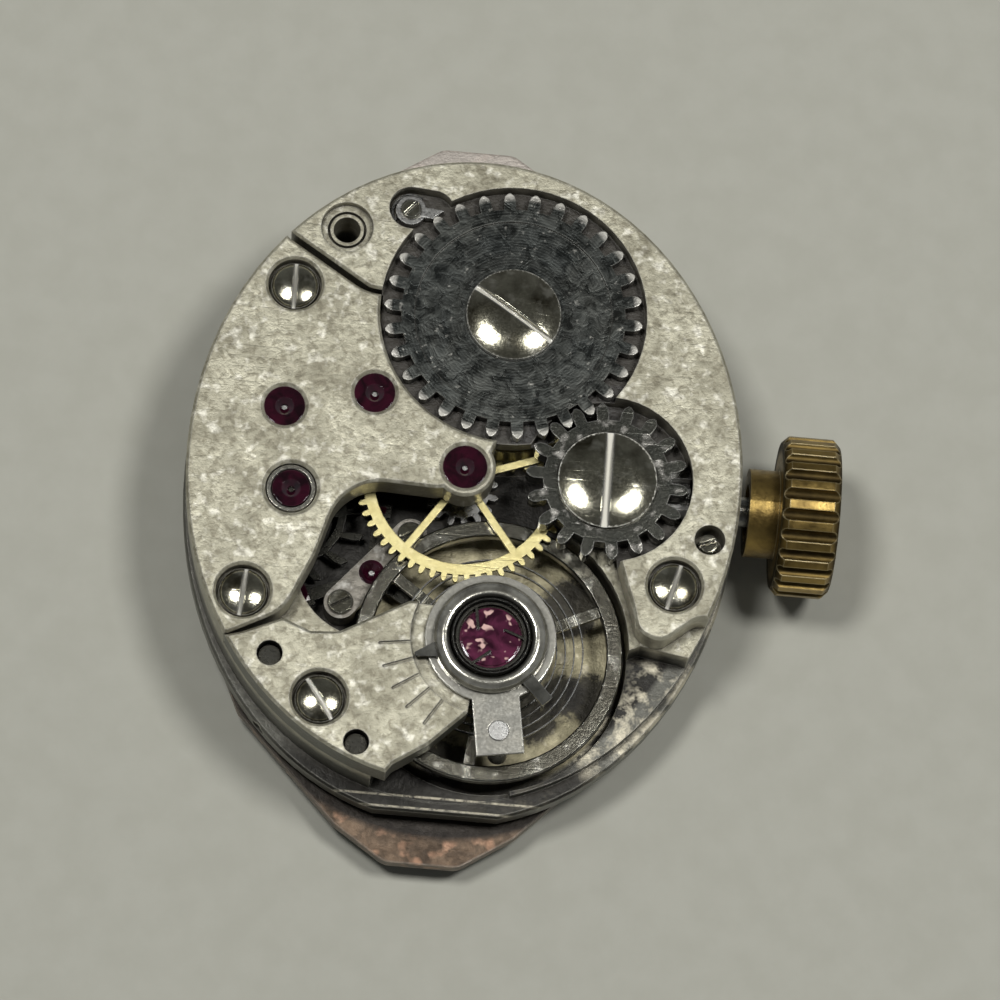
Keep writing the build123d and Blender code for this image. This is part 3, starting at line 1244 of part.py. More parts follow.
# Balance wheel, staff and rollers
arm_z = rim_z + (balance_rim_height - balance_arm_height) / 2
with BuildPart() as balance_wheel:
    disc(at(balance, rim_z), balance_radius, balance_rim_height, bore=balance_radius - balance_rim_width)
    chamfer(balance_wheel.edges(), edge_bevel / 2)
    disc(at(balance, arm_z), balance_hub_radius, balance_arm_height)
    with BuildSketch(at(balance, arm_z, balance_arm_turn)):
        with PolarLocations((balance_radius - balance_rim_width + balance_hub_radius) / 2, balance_arms):
            Rectangle(balance_radius - balance_rim_width, balance_arm_width)
    extrude(amount=balance_arm_height)
    disc(at(balance, rim_z - cut_overrun), balance_staff_radius, seat_z, mode=Mode.SUBTRACT)
finish(balance_wheel, "balance_wheel")

roller_z = escape_z + escape_wheel_thickness + pallet_bridge_gap / 2
collet_z = arm_z + balance_arm_height + hub_collar_height
shock_base_z = cock_arm_z + shock_well_depth
staff_low_z = train_floor_z - part_clearance
staff_high_z = cock_arm_z - part_clearance
with BuildPart() as balance_staff:
    turned(balance, [(0, staff_low_z - pivot_shoulder), (balance_pivot_radius, staff_low_z - pivot_shoulder),
                     (balance_pivot_radius, staff_low_z),
                     (balance_staff_radius, staff_low_z + pivot_shoulder / 2),
                     (balance_staff_radius, arm_z - hub_collar_height),
                     (staff_seat_radius, arm_z - hub_collar_height), (staff_seat_radius, arm_z),
                     (balance_staff_radius, arm_z),
                     (balance_staff_radius, staff_high_z - pivot_shoulder / 2),
                     (balance_pivot_radius, staff_high_z),
                     (balance_pivot_radius, staff_high_z + pivot_shoulder), (0, staff_high_z + pivot_shoulder)])
finish(balance_staff, "balance_staff")

with BuildPart() as roller:
    disc(at(balance, roller_z), roller_radius, roller_thickness, bore=balance_staff_radius)
    disc(at(balance, train_floor_z + floor_gap), safety_roller_radius, safety_roller_thickness,
         bore=balance_staff_radius)
    disc(at(balance, train_floor_z + floor_gap), balance_staff_radius + hub_collar_extra,
         roller_z - train_floor_z - floor_gap, bore=balance_staff_radius)
    impulse = towards(balance, lever_angle + 180, impulse_orbit_radius)
    disc(at(impulse, roller_z), impulse_jewel_radius, roller_thickness, mode=Mode.SUBTRACT)
finish(roller, "roller")

with BuildPart() as impulse_jewel:
    disc(at(impulse, escape_z), impulse_jewel_radius, roller_z + roller_thickness - escape_z)
finish(impulse_jewel, "impulse_jewel")

with BuildPart() as collet:
    disc(at(balance, collet_z), collet_radius, collet_height, bore=balance_staff_radius)
finish(collet, "collet")

# Hairspring: a flat spiral from the collet out to the stud
hairspring_start = collet_radius + hairspring_gap + hairspring_strip / 2
hairspring_end = hairspring_start + hairspring_pitch * hairspring_turns
with BuildPart() as hairspring:
    hairspring_free_gap = spiral_strip(
        at(balance, collet_z + part_clearance, carrier_angle),
        hairspring_start, hairspring_pitch, hairspring_turns, hairspring_strip, hairspring_height)
finish(hairspring, "hairspring")

# Stud carrier ring with its tongue, and the stud that hangs from it
carrier_bore = shock_block_radius + carrier_bore_clearance
with BuildPart() as stud_carrier:
    disc(at(balance, carrier_z), carrier_outer_radius, carrier_thickness)
    outline(at(balance, carrier_z, carrier_angle),
            [(carrier_bore, -carrier_tongue_width / 2), (carrier_tongue_reach, -carrier_tongue_width / 2),
             (carrier_tongue_reach, carrier_tongue_width / 2), (carrier_bore, carrier_tongue_width / 2)],
            carrier_thickness)
    disc(at(balance, carrier_z - cut_overrun), carrier_bore, seat_z, mode=Mode.SUBTRACT)
    stud_spot = towards(balance, carrier_angle, stud_reach)
    disc(at(stud_spot, carrier_z - cut_overrun), stud_radius, seat_z, mode=Mode.SUBTRACT)
finish(stud_carrier, "stud_carrier")

stud_foot = towards(balance, carrier_angle, hairspring_end + hairspring_strip / 2 + stud_radius)
with BuildPart() as stud:
    disc(at(stud_spot, carrier_z - part_clearance), stud_radius, carrier_thickness + part_clearance + stud_rise)
    strip(at(center, carrier_z - 3 * part_clearance), stud_spot, stud_foot, stud_foot_width, 2 * part_clearance)
    disc(at(stud_foot, collet_z), stud_radius, carrier_z - part_clearance - collet_z)
finish(stud, "stud")

# Regulator: a ring with a pointer and a tail that holds the curb pins
with BuildPart() as regulator:
    disc(at(balance, regulator_z), regulator_outer_radius, regulator_ring_height)
    outline(at(balance, regulator_z, regulator_angle),
            [(carrier_bore, -regulator_pointer_width / 2),
             (regulator_pointer_reach, -regulator_point_width / 2),
             (regulator_pointer_reach, regulator_point_width / 2),
             (carrier_bore, regulator_pointer_width / 2)],
            regulator_thickness)
    outline(at(balance, regulator_z, regulator_tail_angle),
            [(carrier_bore, -regulator_tail_width / 2), (regulator_tail_reach, -regulator_tail_width / 2),
             (regulator_tail_reach, regulator_tail_width / 2), (carrier_bore, regulator_tail_width / 2)],
            regulator_thickness)
    curb_radius = hairspring_end - hairspring_pitch
    curb_offset = hairspring_strip / 2 + curb_pin_gap + curb_pin_radius
    for side in (1, -1):
        curb_spot = towards(balance, regulator_tail_angle, curb_radius + side * curb_offset)
        disc(at(curb_spot, collet_z + part_clearance), curb_pin_radius, regulator_z - collet_z - part_clearance)
    disc(at(balance, regulator_z - cut_overrun), carrier_bore, seat_z, mode=Mode.SUBTRACT)
    chamfer(regulator.faces().sort_by(Axis.Z)[-1].edges(), edge_bevel)
finish(regulator, "regulator")

# Upper shock setting: block, jewel and lyre spring
block_top = top_z + shock_block_rise
with BuildPart() as shock_block:
    turned(balance, [(balance_staff_radius, cock_arm_z), (shock_block_radius, cock_arm_z),
                     (shock_block_radius, block_top - edge_bevel / 2),
                     (shock_block_radius - edge_bevel / 2, block_top),
                     (shock_well_radius + edge_bevel / 2, block_top),
                     (shock_well_radius, block_top - edge_bevel / 2),
                     (shock_well_radius, block_top - shock_well_depth),
                     (shock_jewel_radius, block_top - shock_well_depth),
                     (shock_jewel_radius, shock_base_z), (balance_staff_radius, shock_base_z)])
finish(shock_block, "shock_block")

with BuildPart() as shock_jewels:
    jewel(balance, shock_base_z, shock_jewel_radius, shock_jewel_thickness,
          balance_pivot_radius + running_clearance)
    disc(at(balance, shock_base_z + shock_jewel_thickness + part_clearance), shock_jewel_radius,
         block_top - shock_well_depth - shock_base_z - shock_jewel_thickness - part_clearance)
    disc(at(balance, block_top - shock_well_depth), shock_cap_radius, shock_cap_rise)
finish(shock_jewels, "shock_jewels")

with BuildPart() as shock_spring:
    lyre_z = block_top - shock_well_depth + shock_spring_height
    disc(at(balance, lyre_z), shock_well_radius - part_clearance, shock_spring_thickness,
         bore=shock_well_radius - part_clearance - shock_spring_width)
    for tab in range(shock_spring_tabs):
        turn = 360 * tab / shock_spring_tabs
        inner_end = towards(balance, turn + shock_spring_twist, shock_spring_reach)
        outer_end = towards(balance, turn, shock_well_radius - part_clearance - shock_spring_width / 2)
        strip(at(center, lyre_z), inner_end, outer_end, shock_spring_width, shock_spring_thickness)
finish(shock_spring, "shock_spring")

with BuildPart() as lower_shock:
    turned(balance, [(balance_pivot_radius + running_clearance, plate_z + part_clearance),
                     (shock_well_radius - part_clearance, plate_z + part_clearance),
                     (shock_well_radius - part_clearance, train_floor_z - part_clearance * 2),
                     (balance_pivot_radius + running_clearance, train_floor_z - part_clearance * 2)])
finish(lower_shock, "lower_shock")

# Winding stem
with BuildPart() as stem:
    round_start = winding_pinion_start - wall_clearance
    stem_shoulder = winding_pinion_start + winding_pinion_length + pinion_cavity_clearance
    turned_on_stem([(stem_pilot_start, 0), (stem_pilot_start, stem_pilot_radius),
                    (stem_square_start, stem_pilot_radius),
                    (round_start, stem_pilot_radius), (round_start, stem_round_radius),
                    (stem_shoulder, stem_round_radius), (stem_shoulder, stem_radius),
                    (stem_groove_start, stem_radius), (stem_groove_start, stem_groove_radius),
                    (stem_groove_start + stem_groove_length, stem_groove_radius),
                    (stem_groove_start + stem_groove_length, stem_radius), (crown_collar_start, stem_radius),
                    (crown_start + crown_bore_length, stem_radius), (crown_start + crown_bore_length, 0)])
    with BuildSketch(across(stem_square_start, stem_z)):
        Rectangle(stem_square_side, stem_square_side)
    extrude(amount=round_start - stem_square_start)
finish(stem, "stem")

# Crown: ridged rim, bevelled ends and a hollow collar that takes the gasket
with BuildPart() as crown:
    with BuildSketch(across(crown_start, stem_z)):
        Circle(crown_radius)
        with PolarLocations(crown_radius, crown_ridges):
            Circle(crown_ridge_depth, mode=Mode.SUBTRACT)
    extrude(amount=crown_length)
    end_x = crown_start + crown_length
    outer = crown_radius + crown_ridge_depth
    turned_on_stem([(end_x - crown_bevel, crown_radius), (end_x + crown_bevel, crown_radius - 2 * crown_bevel),
                    (end_x + crown_bevel, outer), (end_x - crown_bevel, outer)], mode=Mode.SUBTRACT)
    turned_on_stem([(crown_start + crown_bevel, crown_radius),
                    (crown_start - crown_bevel, crown_radius - 2 * crown_bevel),
                    (crown_start - crown_bevel, outer), (crown_start + crown_bevel, outer)], mode=Mode.SUBTRACT)
    turned_on_stem([(crown_collar_start, stem_radius), (crown_collar_start, crown_collar_radius),
                    (crown_start, crown_collar_radius), (crown_start, stem_radius)])
    turned_on_stem([(crown_collar_start - cut_overrun, 0),
                    (crown_collar_start - cut_overrun, collar_cavity_radius),
                    (crown_collar_start + collar_cavity_depth, collar_cavity_radius),
                    (crown_collar_start + collar_cavity_depth, 0)], mode=Mode.SUBTRACT)
    turned_on_stem([(crown_collar_start - cut_overrun, 0), (crown_collar_start - cut_overrun, stem_radius),
                    (crown_start + crown_bore_length, stem_radius), (crown_start + crown_bore_length, 0)],
                   mode=Mode.SUBTRACT)
finish(crown, "crown")

with BuildPart() as crown_gasket:
    with BuildSketch(Plane(origin=(0, 0, stem_z), x_dir=(1, 0, 0), z_dir=(0, -1, 0))):
        with Locations((crown_collar_start + collar_cavity_depth - gasket_section_radius - part_clearance,
                        stem_radius + gasket_section_radius + part_clearance)):
            Circle(gasket_section_radius)
    revolve(axis=Axis((0, 0, stem_z), (1, 0, 0)))
finish(crown_gasket, "crown_gasket")


def face_toothed(end_place):
    # Radial notches across one end of a pinion on the stem.
    with BuildSketch(across(end_place - face_tooth_depth, stem_z)) as cuts:
        with PolarLocations(face_tooth_radius, face_teeth):
            Rectangle(face_tooth_length, face_tooth_depth)
    extrude(cuts.sketch, amount=2 * face_tooth_depth, mode=Mode.SUBTRACT)


# Winding pinion, with spur teeth for the crown wheel and notches that meet the sliding pinion's
with BuildPart() as winding_pinion:
    with BuildSketch(across(winding_pinion_start, stem_z)):
        Circle(winding_pinion_radius)
        with PolarLocations(winding_pinion_radius, winding_teeth):
            Rectangle(2 * winding_tooth_depth, pi * winding_pinion_radius / winding_teeth, mode=Mode.SUBTRACT)
        Circle(stem_round_radius + running_clearance, mode=Mode.SUBTRACT)
    extrude(amount=winding_pinion_length)
    face_toothed(winding_pinion_start)
finish(winding_pinion, "winding_pinion")

groove_middle = sliding_pinion_start + sliding_pinion_length / 2
sliding_hole_side = stem_square_side + 2 * running_clearance
with BuildPart() as sliding_pinion:
    turned_on_stem([(sliding_pinion_start, 0), (sliding_pinion_start, sliding_pinion_radius),
                    (groove_middle - sliding_groove_length / 2, sliding_pinion_radius),
                    (groove_middle - sliding_groove_length / 2, sliding_groove_radius),
                    (groove_middle + sliding_groove_length / 2, sliding_groove_radius),
                    (groove_middle + sliding_groove_length / 2, sliding_pinion_radius),
                    (sliding_pinion_start + sliding_pinion_length, sliding_pinion_radius),
                    (sliding_pinion_start + sliding_pinion_length, 0)])
    with BuildSketch(across(sliding_pinion_start - cut_overrun, stem_z)):
        Rectangle(sliding_hole_side, sliding_hole_side)
    extrude(amount=sliding_pinion_length + 2 * cut_overrun, mode=Mode.SUBTRACT)
    face_toothed(sliding_pinion_start)
    face_toothed(sliding_pinion_start + sliding_pinion_length)
finish(sliding_pinion, "sliding_pinion")

# Setting lever, with the pin that sits in the stem's groove, and the screw it turns on
lever_hole_radius = lever_screw_radius + running_clearance
with BuildPart() as setting_lever:
    disc(at(lever_screw, keyless_z), lever_boss_radius, keyless_thickness)
    strip(at(center, keyless_z), lever_screw, (groove_x, 0), lever_arm_width, keyless_thickness)
    disc(at((groove_x, 0), keyless_z), lever_pin_radius,
         stem_z - stem_groove_radius - part_clearance - keyless_z)
    disc(at(lever_screw, keyless_z - cut_overrun), lever_hole_radius, seat_z, mode=Mode.SUBTRACT)
finish(setting_lever, "setting_lever")

with BuildPart() as setting_lever_screw:
    disc(at(lever_screw, keyless_z - lever_screw_flange_height - part_clearance), lever_screw_flange_radius,
         lever_screw_flange_height)
    disc(at(lever_screw, keyless_z - part_clearance), lever_screw_radius,
         lever_screw_top_z - keyless_z + part_clearance)
    with BuildSketch(at(lever_screw, lever_screw_top_z - screw_slot_depth, lever_slot_angle)):
        Rectangle(2 * lever_screw_radius + cut_overrun, screw_slot_width)
    extrude(amount=screw_slot_depth + cut_overrun, mode=Mode.SUBTRACT)
finish(setting_lever_screw, "setting_lever_screw")

# Yoke, with the finger that sits in the sliding pinion's groove, and its spring
with BuildPart() as yoke:
    disc(at(yoke_pivot, keyless_z), yoke_boss_radius, keyless_thickness)
    strip(at(center, keyless_z), yoke_pivot, (groove_middle, 0), yoke_arm_width, keyless_thickness)
    disc(at((groove_middle, 0), keyless_z), sliding_groove_length / 2 - part_clearance,
         stem_z - sliding_groove_radius - part_clearance - keyless_z)
    disc(at(yoke_pivot, keyless_z - cut_overrun), keyless_post_radius + running_clearance, seat_z,
         mode=Mode.SUBTRACT)
finish(yoke, "yoke")

with BuildPart() as yoke_spring:
    spring_foot = (recess_left + keyless_recess_corner, recess_high - keyless_recess_corner)
    disc(at(spring_foot, keyless_z), keyless_foot_radius, recess_z - keyless_z)
    strip(at(center, keyless_z), spring_foot, place(yoke_spring_tip_shares), yoke_spring_width,
          keyless_thickness)
finish(yoke_spring, "yoke_spring")

# Setting wheel, minute wheel, hour wheel and cannon pinion
minute_turn = mesh_turn(center, cannon_leaves, 0, minute, minute_teeth)
with BuildPart() as setting_wheel:
    gear(at(setting, recess_z - motion_gap - setting_wheel_thickness),
         tooth_outline(cannon_module, setting_teeth,
                       mesh_turn(minute, minute_teeth, minute_turn, setting, setting_teeth)),
         setting_wheel_thickness, bore=motion_post_radius + running_clearance)
finish(setting_wheel, "setting_wheel")

with BuildPart() as minute_wheel:
    gear(at(minute, minute_wheel_z), tooth_outline(cannon_module, minute_teeth, minute_turn),
         motion_wheel_thickness, bore=motion_post_radius + running_clearance)
    gear(at(minute, motion_z), tooth_outline(hour_module, minute_pinion_leaves), minute_wheel_z - motion_z,
         bore=motion_post_radius + running_clearance)
finish(minute_wheel, "minute_wheel")

with BuildPart() as hour_wheel:
    gear(at(center, motion_z),
         tooth_outline(hour_module, hour_teeth, mesh_turn(minute, minute_pinion_leaves, 0, center, hour_teeth)),
         motion_wheel_thickness)
    turned(center, [(0, -hour_below_dial), (hour_pipe_radius, -hour_below_dial), (hour_pipe_radius, 0),
                    (hour_shoulder_radius, 0), (hour_shoulder_radius, motion_z), (0, motion_z)])
    disc(at(center, -hour_below_dial - cut_overrun), hour_pipe_radius - hour_pipe_wall, seat_z,
         mode=Mode.SUBTRACT)
finish(hour_wheel, "hour_wheel")

with BuildPart() as cannon_pinion:
    turned(center, [(0, cannon_end_z), (cannon_seat_radius, cannon_end_z),
                    (cannon_seat_radius, -hour_below_dial), (cannon_body_radius, -hour_below_dial),
                    (cannon_body_radius, minute_wheel_z - part_clearance),
                    (0, minute_wheel_z - part_clearance)])
    gear(at(center, minute_wheel_z - part_clearance), tooth_outline(cannon_module, cannon_leaves),
         recess_z - minute_wheel_z)
    disc(at(center, cannon_end_z - cut_overrun), center_tail_radius, seat_z, mode=Mode.SUBTRACT)
finish(cannon_pinion, "cannon_pinion")

# Cover of the keyless work, with its jumper spring
cover_low = winding_pinion_radius + wall_clearance
with BuildPart() as setting_jumper:
    with BuildSketch(Plane.XY.offset(cover_z)) as cover_face:
        with BuildLine():
            Polyline((yoke_pivot[0] - cover_wide, yoke_pivot[1] + lever_boss_radius),
                     (cover_post[0] + lever_boss_radius, cover_post[1] + lever_boss_radius),
                     (cover_post[0] + lever_boss_radius, cover_post[1] - lever_boss_radius),
                     (cover_post[0] - lever_boss_radius, cover_low),
                     (yoke_pivot[0] - lever_boss_radius, cover_low),
                     (yoke_pivot[0] - cover_wide, yoke_pivot[1] - lever_boss_radius), close=True)
        make_face()
        fillet(cover_face.vertices(), cover_corner)
    extrude(amount=cover_thickness)
    strip(at(center, cover_z), cover_post, place(jumper_tip_shares), jumper_width, cover_thickness)
    for spot in (cover_post, yoke_pivot):
        disc(at(spot, cover_z - cut_overrun), keyless_screw_radius + part_clearance,
             keyless_screw_height + cut_overrun, mode=Mode.SUBTRACT)
        disc(at(spot, cover_z), keyless_shank_radius + part_clearance, cover_thickness, mode=Mode.SUBTRACT)
finish(setting_jumper, "setting_jumper")

# Dial: a faceted long plate with a centre hole and two feet
dial_points = [(x * plate_half_width, y * dial_half_length) for x, y in dial_outline_shares]
dial_right = dial_points + [(x, -y) for x, y in reversed(dial_points[:-1])]
dial_loop = dial_right + [(-x, -y) for x, y in dial_right]
with BuildPart() as dial:
    with BuildSketch(Plane.XY) as dial_face:
        with BuildLine():
            Polyline(*[(x - dial_side_shift, y) for x, y in dial_loop], close=True)
        make_face()
        fillet(dial_face.vertices(), dial_corner_radius)
        Circle(dial_hole_radius, mode=Mode.SUBTRACT)
    extrude(amount=dial_thickness)
    for spot in dial_feet:
        disc(at(spot, dial_thickness), dial_foot_radius, dial_foot_length)
finish(dial, "dial")

print("least gap between the hairspring's turns", round(hairspring_free_gap, 3))
print("least gap between the mainspring's turns", round(mainspring_gap, 3))
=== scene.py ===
import bmesh
import bpy
import math
from mathutils import Matrix, Vector


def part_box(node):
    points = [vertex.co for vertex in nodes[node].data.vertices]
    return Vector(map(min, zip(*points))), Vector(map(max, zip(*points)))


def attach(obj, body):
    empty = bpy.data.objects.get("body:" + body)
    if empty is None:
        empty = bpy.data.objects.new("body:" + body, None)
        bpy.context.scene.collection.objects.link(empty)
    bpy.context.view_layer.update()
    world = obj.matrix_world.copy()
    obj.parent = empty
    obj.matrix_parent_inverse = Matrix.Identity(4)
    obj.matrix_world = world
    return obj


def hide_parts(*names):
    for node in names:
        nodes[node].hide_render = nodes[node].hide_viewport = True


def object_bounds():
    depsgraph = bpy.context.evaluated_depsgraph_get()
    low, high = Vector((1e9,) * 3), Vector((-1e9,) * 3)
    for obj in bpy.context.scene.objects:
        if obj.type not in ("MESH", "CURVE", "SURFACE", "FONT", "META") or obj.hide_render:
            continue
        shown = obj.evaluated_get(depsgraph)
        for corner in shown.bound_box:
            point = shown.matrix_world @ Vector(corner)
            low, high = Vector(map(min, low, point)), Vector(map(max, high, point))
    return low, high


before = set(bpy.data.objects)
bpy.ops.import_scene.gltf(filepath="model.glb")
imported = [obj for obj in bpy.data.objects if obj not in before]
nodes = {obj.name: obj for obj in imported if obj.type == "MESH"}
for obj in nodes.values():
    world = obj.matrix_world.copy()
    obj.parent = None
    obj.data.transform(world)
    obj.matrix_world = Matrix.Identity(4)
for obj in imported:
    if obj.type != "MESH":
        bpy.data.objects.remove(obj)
cadBox = [list(corner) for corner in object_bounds()]
mm = 0.001
perMm = 1000.0  # texture scales are written per millimetre
weldDistance = 1e-7  # corners closer than this are one corner
sharpLimit = 32.0  # degrees from which an edge stays sharp
print("frame loaded:", len(nodes), "CAD nodes")


# Shader helpers
class Val:
    # A shader socket that takes part in sums written in Python.
    def __init__(self, finish, socket):
        self.finish = finish
        self.socket = socket

    def maths(self, operation, other=None, flip=False):
        pair = [self] if other is None else [other, self] if flip else [self, other]
        return self.finish.node("ShaderNodeMath", {"operation": operation}, dict(enumerate(pair)))

    def __add__(self, other):
        return self.maths("ADD", other)

    def __sub__(self, other):
        return self.maths("SUBTRACT", other)

    def __rsub__(self, other):
        return self.maths("SUBTRACT", other, flip=True)

    def __mul__(self, other):
        return self.maths("MULTIPLY", other)

    def __truediv__(self, other):
        return self.maths("DIVIDE", other)

    def __pow__(self, other):
        return self.maths("POWER", other)

    __radd__ = __add__
    __rmul__ = __mul__


class Finish:
    # One material and the few moves that build its nodes.
    def __init__(self, name, roughness=0.5, metallic=0.0, coat=0.0, ior=1.5):
        self.material = bpy.data.materials.new(name)
        self.material.use_nodes = True
        self.tree = self.material.node_tree
        self.shader = self.tree.nodes["Principled BSDF"]
        fixed = {"Roughness": roughness, "Metallic": metallic, "Coat Weight": coat, "IOR": ior}
        for socket, value in fixed.items():
            self.shader.inputs[socket].default_value = value
        self.place = self.node("ShaderNodeTexCoord", output="Object")

    def node(self, kind, settings=None, inputs=None, output=0):
        made = self.tree.nodes.new(kind)
        for key, value in (settings or {}).items():
            setattr(made, key, value)
        for key, value in (inputs or {}).items():
            if isinstance(value, Val):
                self.tree.links.new(value.socket, made.inputs[key])
            else:
                made.inputs[key].default_value = value
        return Val(self, made.outputs[output])

    def feed(self, socket, value):
        self.tree.links.new(value.socket, self.shader.inputs[socket])

    def noise(self, size, detail=3.0, rough=0.55, place=None, warp=0.0):
        # size is the grain in millimetres
        return self.node("ShaderNodeTexNoise", None, {
            "Vector": place or self.place, "Scale": perMm / size, "Detail": detail, "Roughness": rough,
            "Distortion": warp})

    def span(self, value, low, high, start=0.0, end=1.0):
        return self.node("ShaderNodeMapRange", {"clamp": True}, {0: value, 1: low, 2: high, 3: start, 4: end})

    def mix(self, factor, first, second):
        return self.node("ShaderNodeMix", {"data_type": "RGBA"}, {0: factor, 6: first, 7: second}, 2)

    def about(self, spot, direction="Z", shares=(1.0, 1.0)):
        # Distance from an axis through a spot, in millimetres or in shares of an oval.
        centred = self.node("ShaderNodeVectorMath", {"operation": "SUBTRACT"},
                            {0: self.place, 1: tuple(value * mm for value in spot)})
        flat = {"Z": (perMm / shares[0], perMm / shares[1], 0.0), "X": (0.0, perMm, perMm)}[direction]
        across = self.node("ShaderNodeVectorMath", {"operation": "MULTIPLY"}, {0: centred, 1: flat})
        return self.node("ShaderNodeVectorMath", {"operation": "LENGTH"}, {0: across}, "Value")

    def part(self, vector, letter):
        return self.node("ShaderNodeSeparateXYZ", None, {0: vector}, letter)

    def at(self, letter):
        # Place along one axis from the middle of the dial's face, in millimetres.
        return self.part(self.place, letter) * perMm

    def facingUp(self):
        # 1 on level faces, 0 on walls.
        normal = self.node("ShaderNodeNewGeometry", output="Normal")
        return self.span(self.part(normal, "Z"), 0.35, 0.75)

    def edges(self, width):
        # 1 along the piece's edges, 0 on its faces, and the rounded normal.
        rounded = self.node("ShaderNodeBevel", {"samples": 4}, {"Radius": width * mm})
        plain = self.node("ShaderNodeNewGeometry", output="Normal")
        likeness = self.node("ShaderNodeVectorMath", {"operation": "DOT_PRODUCT"},
                             {0: rounded, 1: plain}, "Value")
        return self.span(likeness, 0.985, 0.85), rounded

    def crevice(self, reach, low=0.35, high=0.85):
        # 1 deep in corners and under edges, 0 in the open: the mask for painted shade, from ambient occlusion.
        openness = self.node("ShaderNodeAmbientOcclusion", {"samples": 6}, {"Distance": reach * mm}, "AO")
        return self.span(openness, high, low)

    def bump(self, height, depth, normal):
        self.feed("Normal", self.node("ShaderNodeBump", None, {
            "Height": height, "Distance": depth * mm, "Normal": normal}))


barrelAxis = (0.8515, 3.8608, 0.0)
balanceAxis = (0.91, -4.0584, 0.0)
stemAxis = (0.0, 0.0, 1.55)
crownWheelAxis = (3.341, 0.0, 0.0)


def rgb(red, green, blue):
    return (red, green, blue, 1.0)


metalCuts = {  # levels of the noises at which each mark starts and is full
    "stain": (0.38, 0.68), "speck": (0.56, 0.72), "dimple": (0.54, 0.36), "scratch": (0.62, 0.70),
    "gloss": (0.2, 0.9), "bright": (0.47, 0.60), "bars": (0.70, 0.95), "barBreaks": (0.35, 0.55),
    "sheen": (0.36, 0.68), "glare": (0.60, 0.70),
}


def addPit(finish, look, colour, grain):
    # Painted shade on the sunk floors under the two winding wheels; on a screw, a painted highlight on its
    # slot's floor.
    sunk = finish.span(finish.at("Z") + grain * 0.06, look["pitFrom"], look["pitTo"])
    near = finish.span(finish.about(barrelAxis), look["pitReach"], look["pitReach"] - 0.05)
    near = near + finish.span(finish.about(crownWheelAxis), 2.45, 2.4)
    low = finish.facingUp() * sunk * near
    finish.feed("Metallic", look["metallic"] - low * look["pitDull"])
    return finish.mix(low * look["pitDepth"], colour, look["pitShadeAndGleam"])


def addWell(finish, look, colour, grain):
    # Painted shade: darker below a set height, and near black on the faces inside an oval, such as the plate's
    # floors below the bridges and the dial under the plate.
    inside = finish.about((0.0, 0.0, 0.0), "Z", look["deepOval"])
    well = finish.span(finish.at("Z") + grain * 0.2, look["deepFrom"], look["deepTo"])
    colour = finish.mix(well * look["outerShare"], colour, look["outer"])
    floor = well * finish.span(inside, 1.0, 0.98) * (0.35 + finish.facingUp() * 0.6)
    return finish.mix(floor, colour, look["deep"]), well, inside


def addPaintedLightAndShade(finish, look, colour, grain, well, inside):
    # Painted highlight patches beside the balance, painted reflections and painted shade blots on the floor
    # under it, and along the plate's foot a painted shade with painted highlight bars.
    side, foot = finish.at("X"), finish.at("Y")
    bright = finish.noise(look["patchSize"], 4.0, 0.7, warp=0.2)
    bright = finish.span(bright, *metalCuts["bright"])
    corner = finish.span(side, *look["patchSide"]) * finish.span(foot, *look["patchFoot"]) * finish.facingUp()
    outward = 0.2 + finish.span(inside, *look["patchOut"]) * 0.8
    # painted highlight: bright patches on the level floor beside the balance
    colour = finish.mix(bright * well * corner * outward * look["patchShare"], colour, look["patch"])

    # painted reflections and painted shade blots on the floor under the balance
    basin = well * finish.span(finish.about(balanceAxis), *look["basinEdge"]) * finish.facingUp()
    sheen = finish.span(finish.noise(look["sheenSize"], 4.0, 0.65, warp=0.3), *metalCuts["sheen"])
    glare = finish.span(finish.noise(look["speckSize"], 2.0, 0.5), *metalCuts["glare"])
    tinted = finish.mix(sheen, look["olive"], look["tan"])
    tinted = finish.mix(glare * sheen, tinted, look["patch"])
    for x, y, size in look["shadeBlots"]:
        away = finish.about((x, y, 0.0)) + grain * 0.7
        shadeBlot = finish.span(away, size + 0.45, size + 0.25)
        tinted = finish.mix(shadeBlot * look["paintedBasinShare"], tinted, look["deep"])
    colour = finish.mix(basin * look["paintedBasinShare"], colour, tinted)

    # painted shade: the plate darker towards its foot
    dark = well * finish.span(foot, *look["footEdge"]) * (finish.facingUp() * 0.8 + 0.2)
    colour = finish.mix(dark * look["footShare"], colour, look["deep"])
    # painted highlight: bright bars along the foot
    bars = finish.span((foot * (2 * math.pi / look["barStep"])).maths("SINE"), *metalCuts["bars"])
    bars = bars * finish.span(foot, *look["barEdge"]) * finish.span(grain, *metalCuts["barBreaks"])
    return finish.mix(bars * dark * look["footShare"] * 0.7, colour, look["patch"])


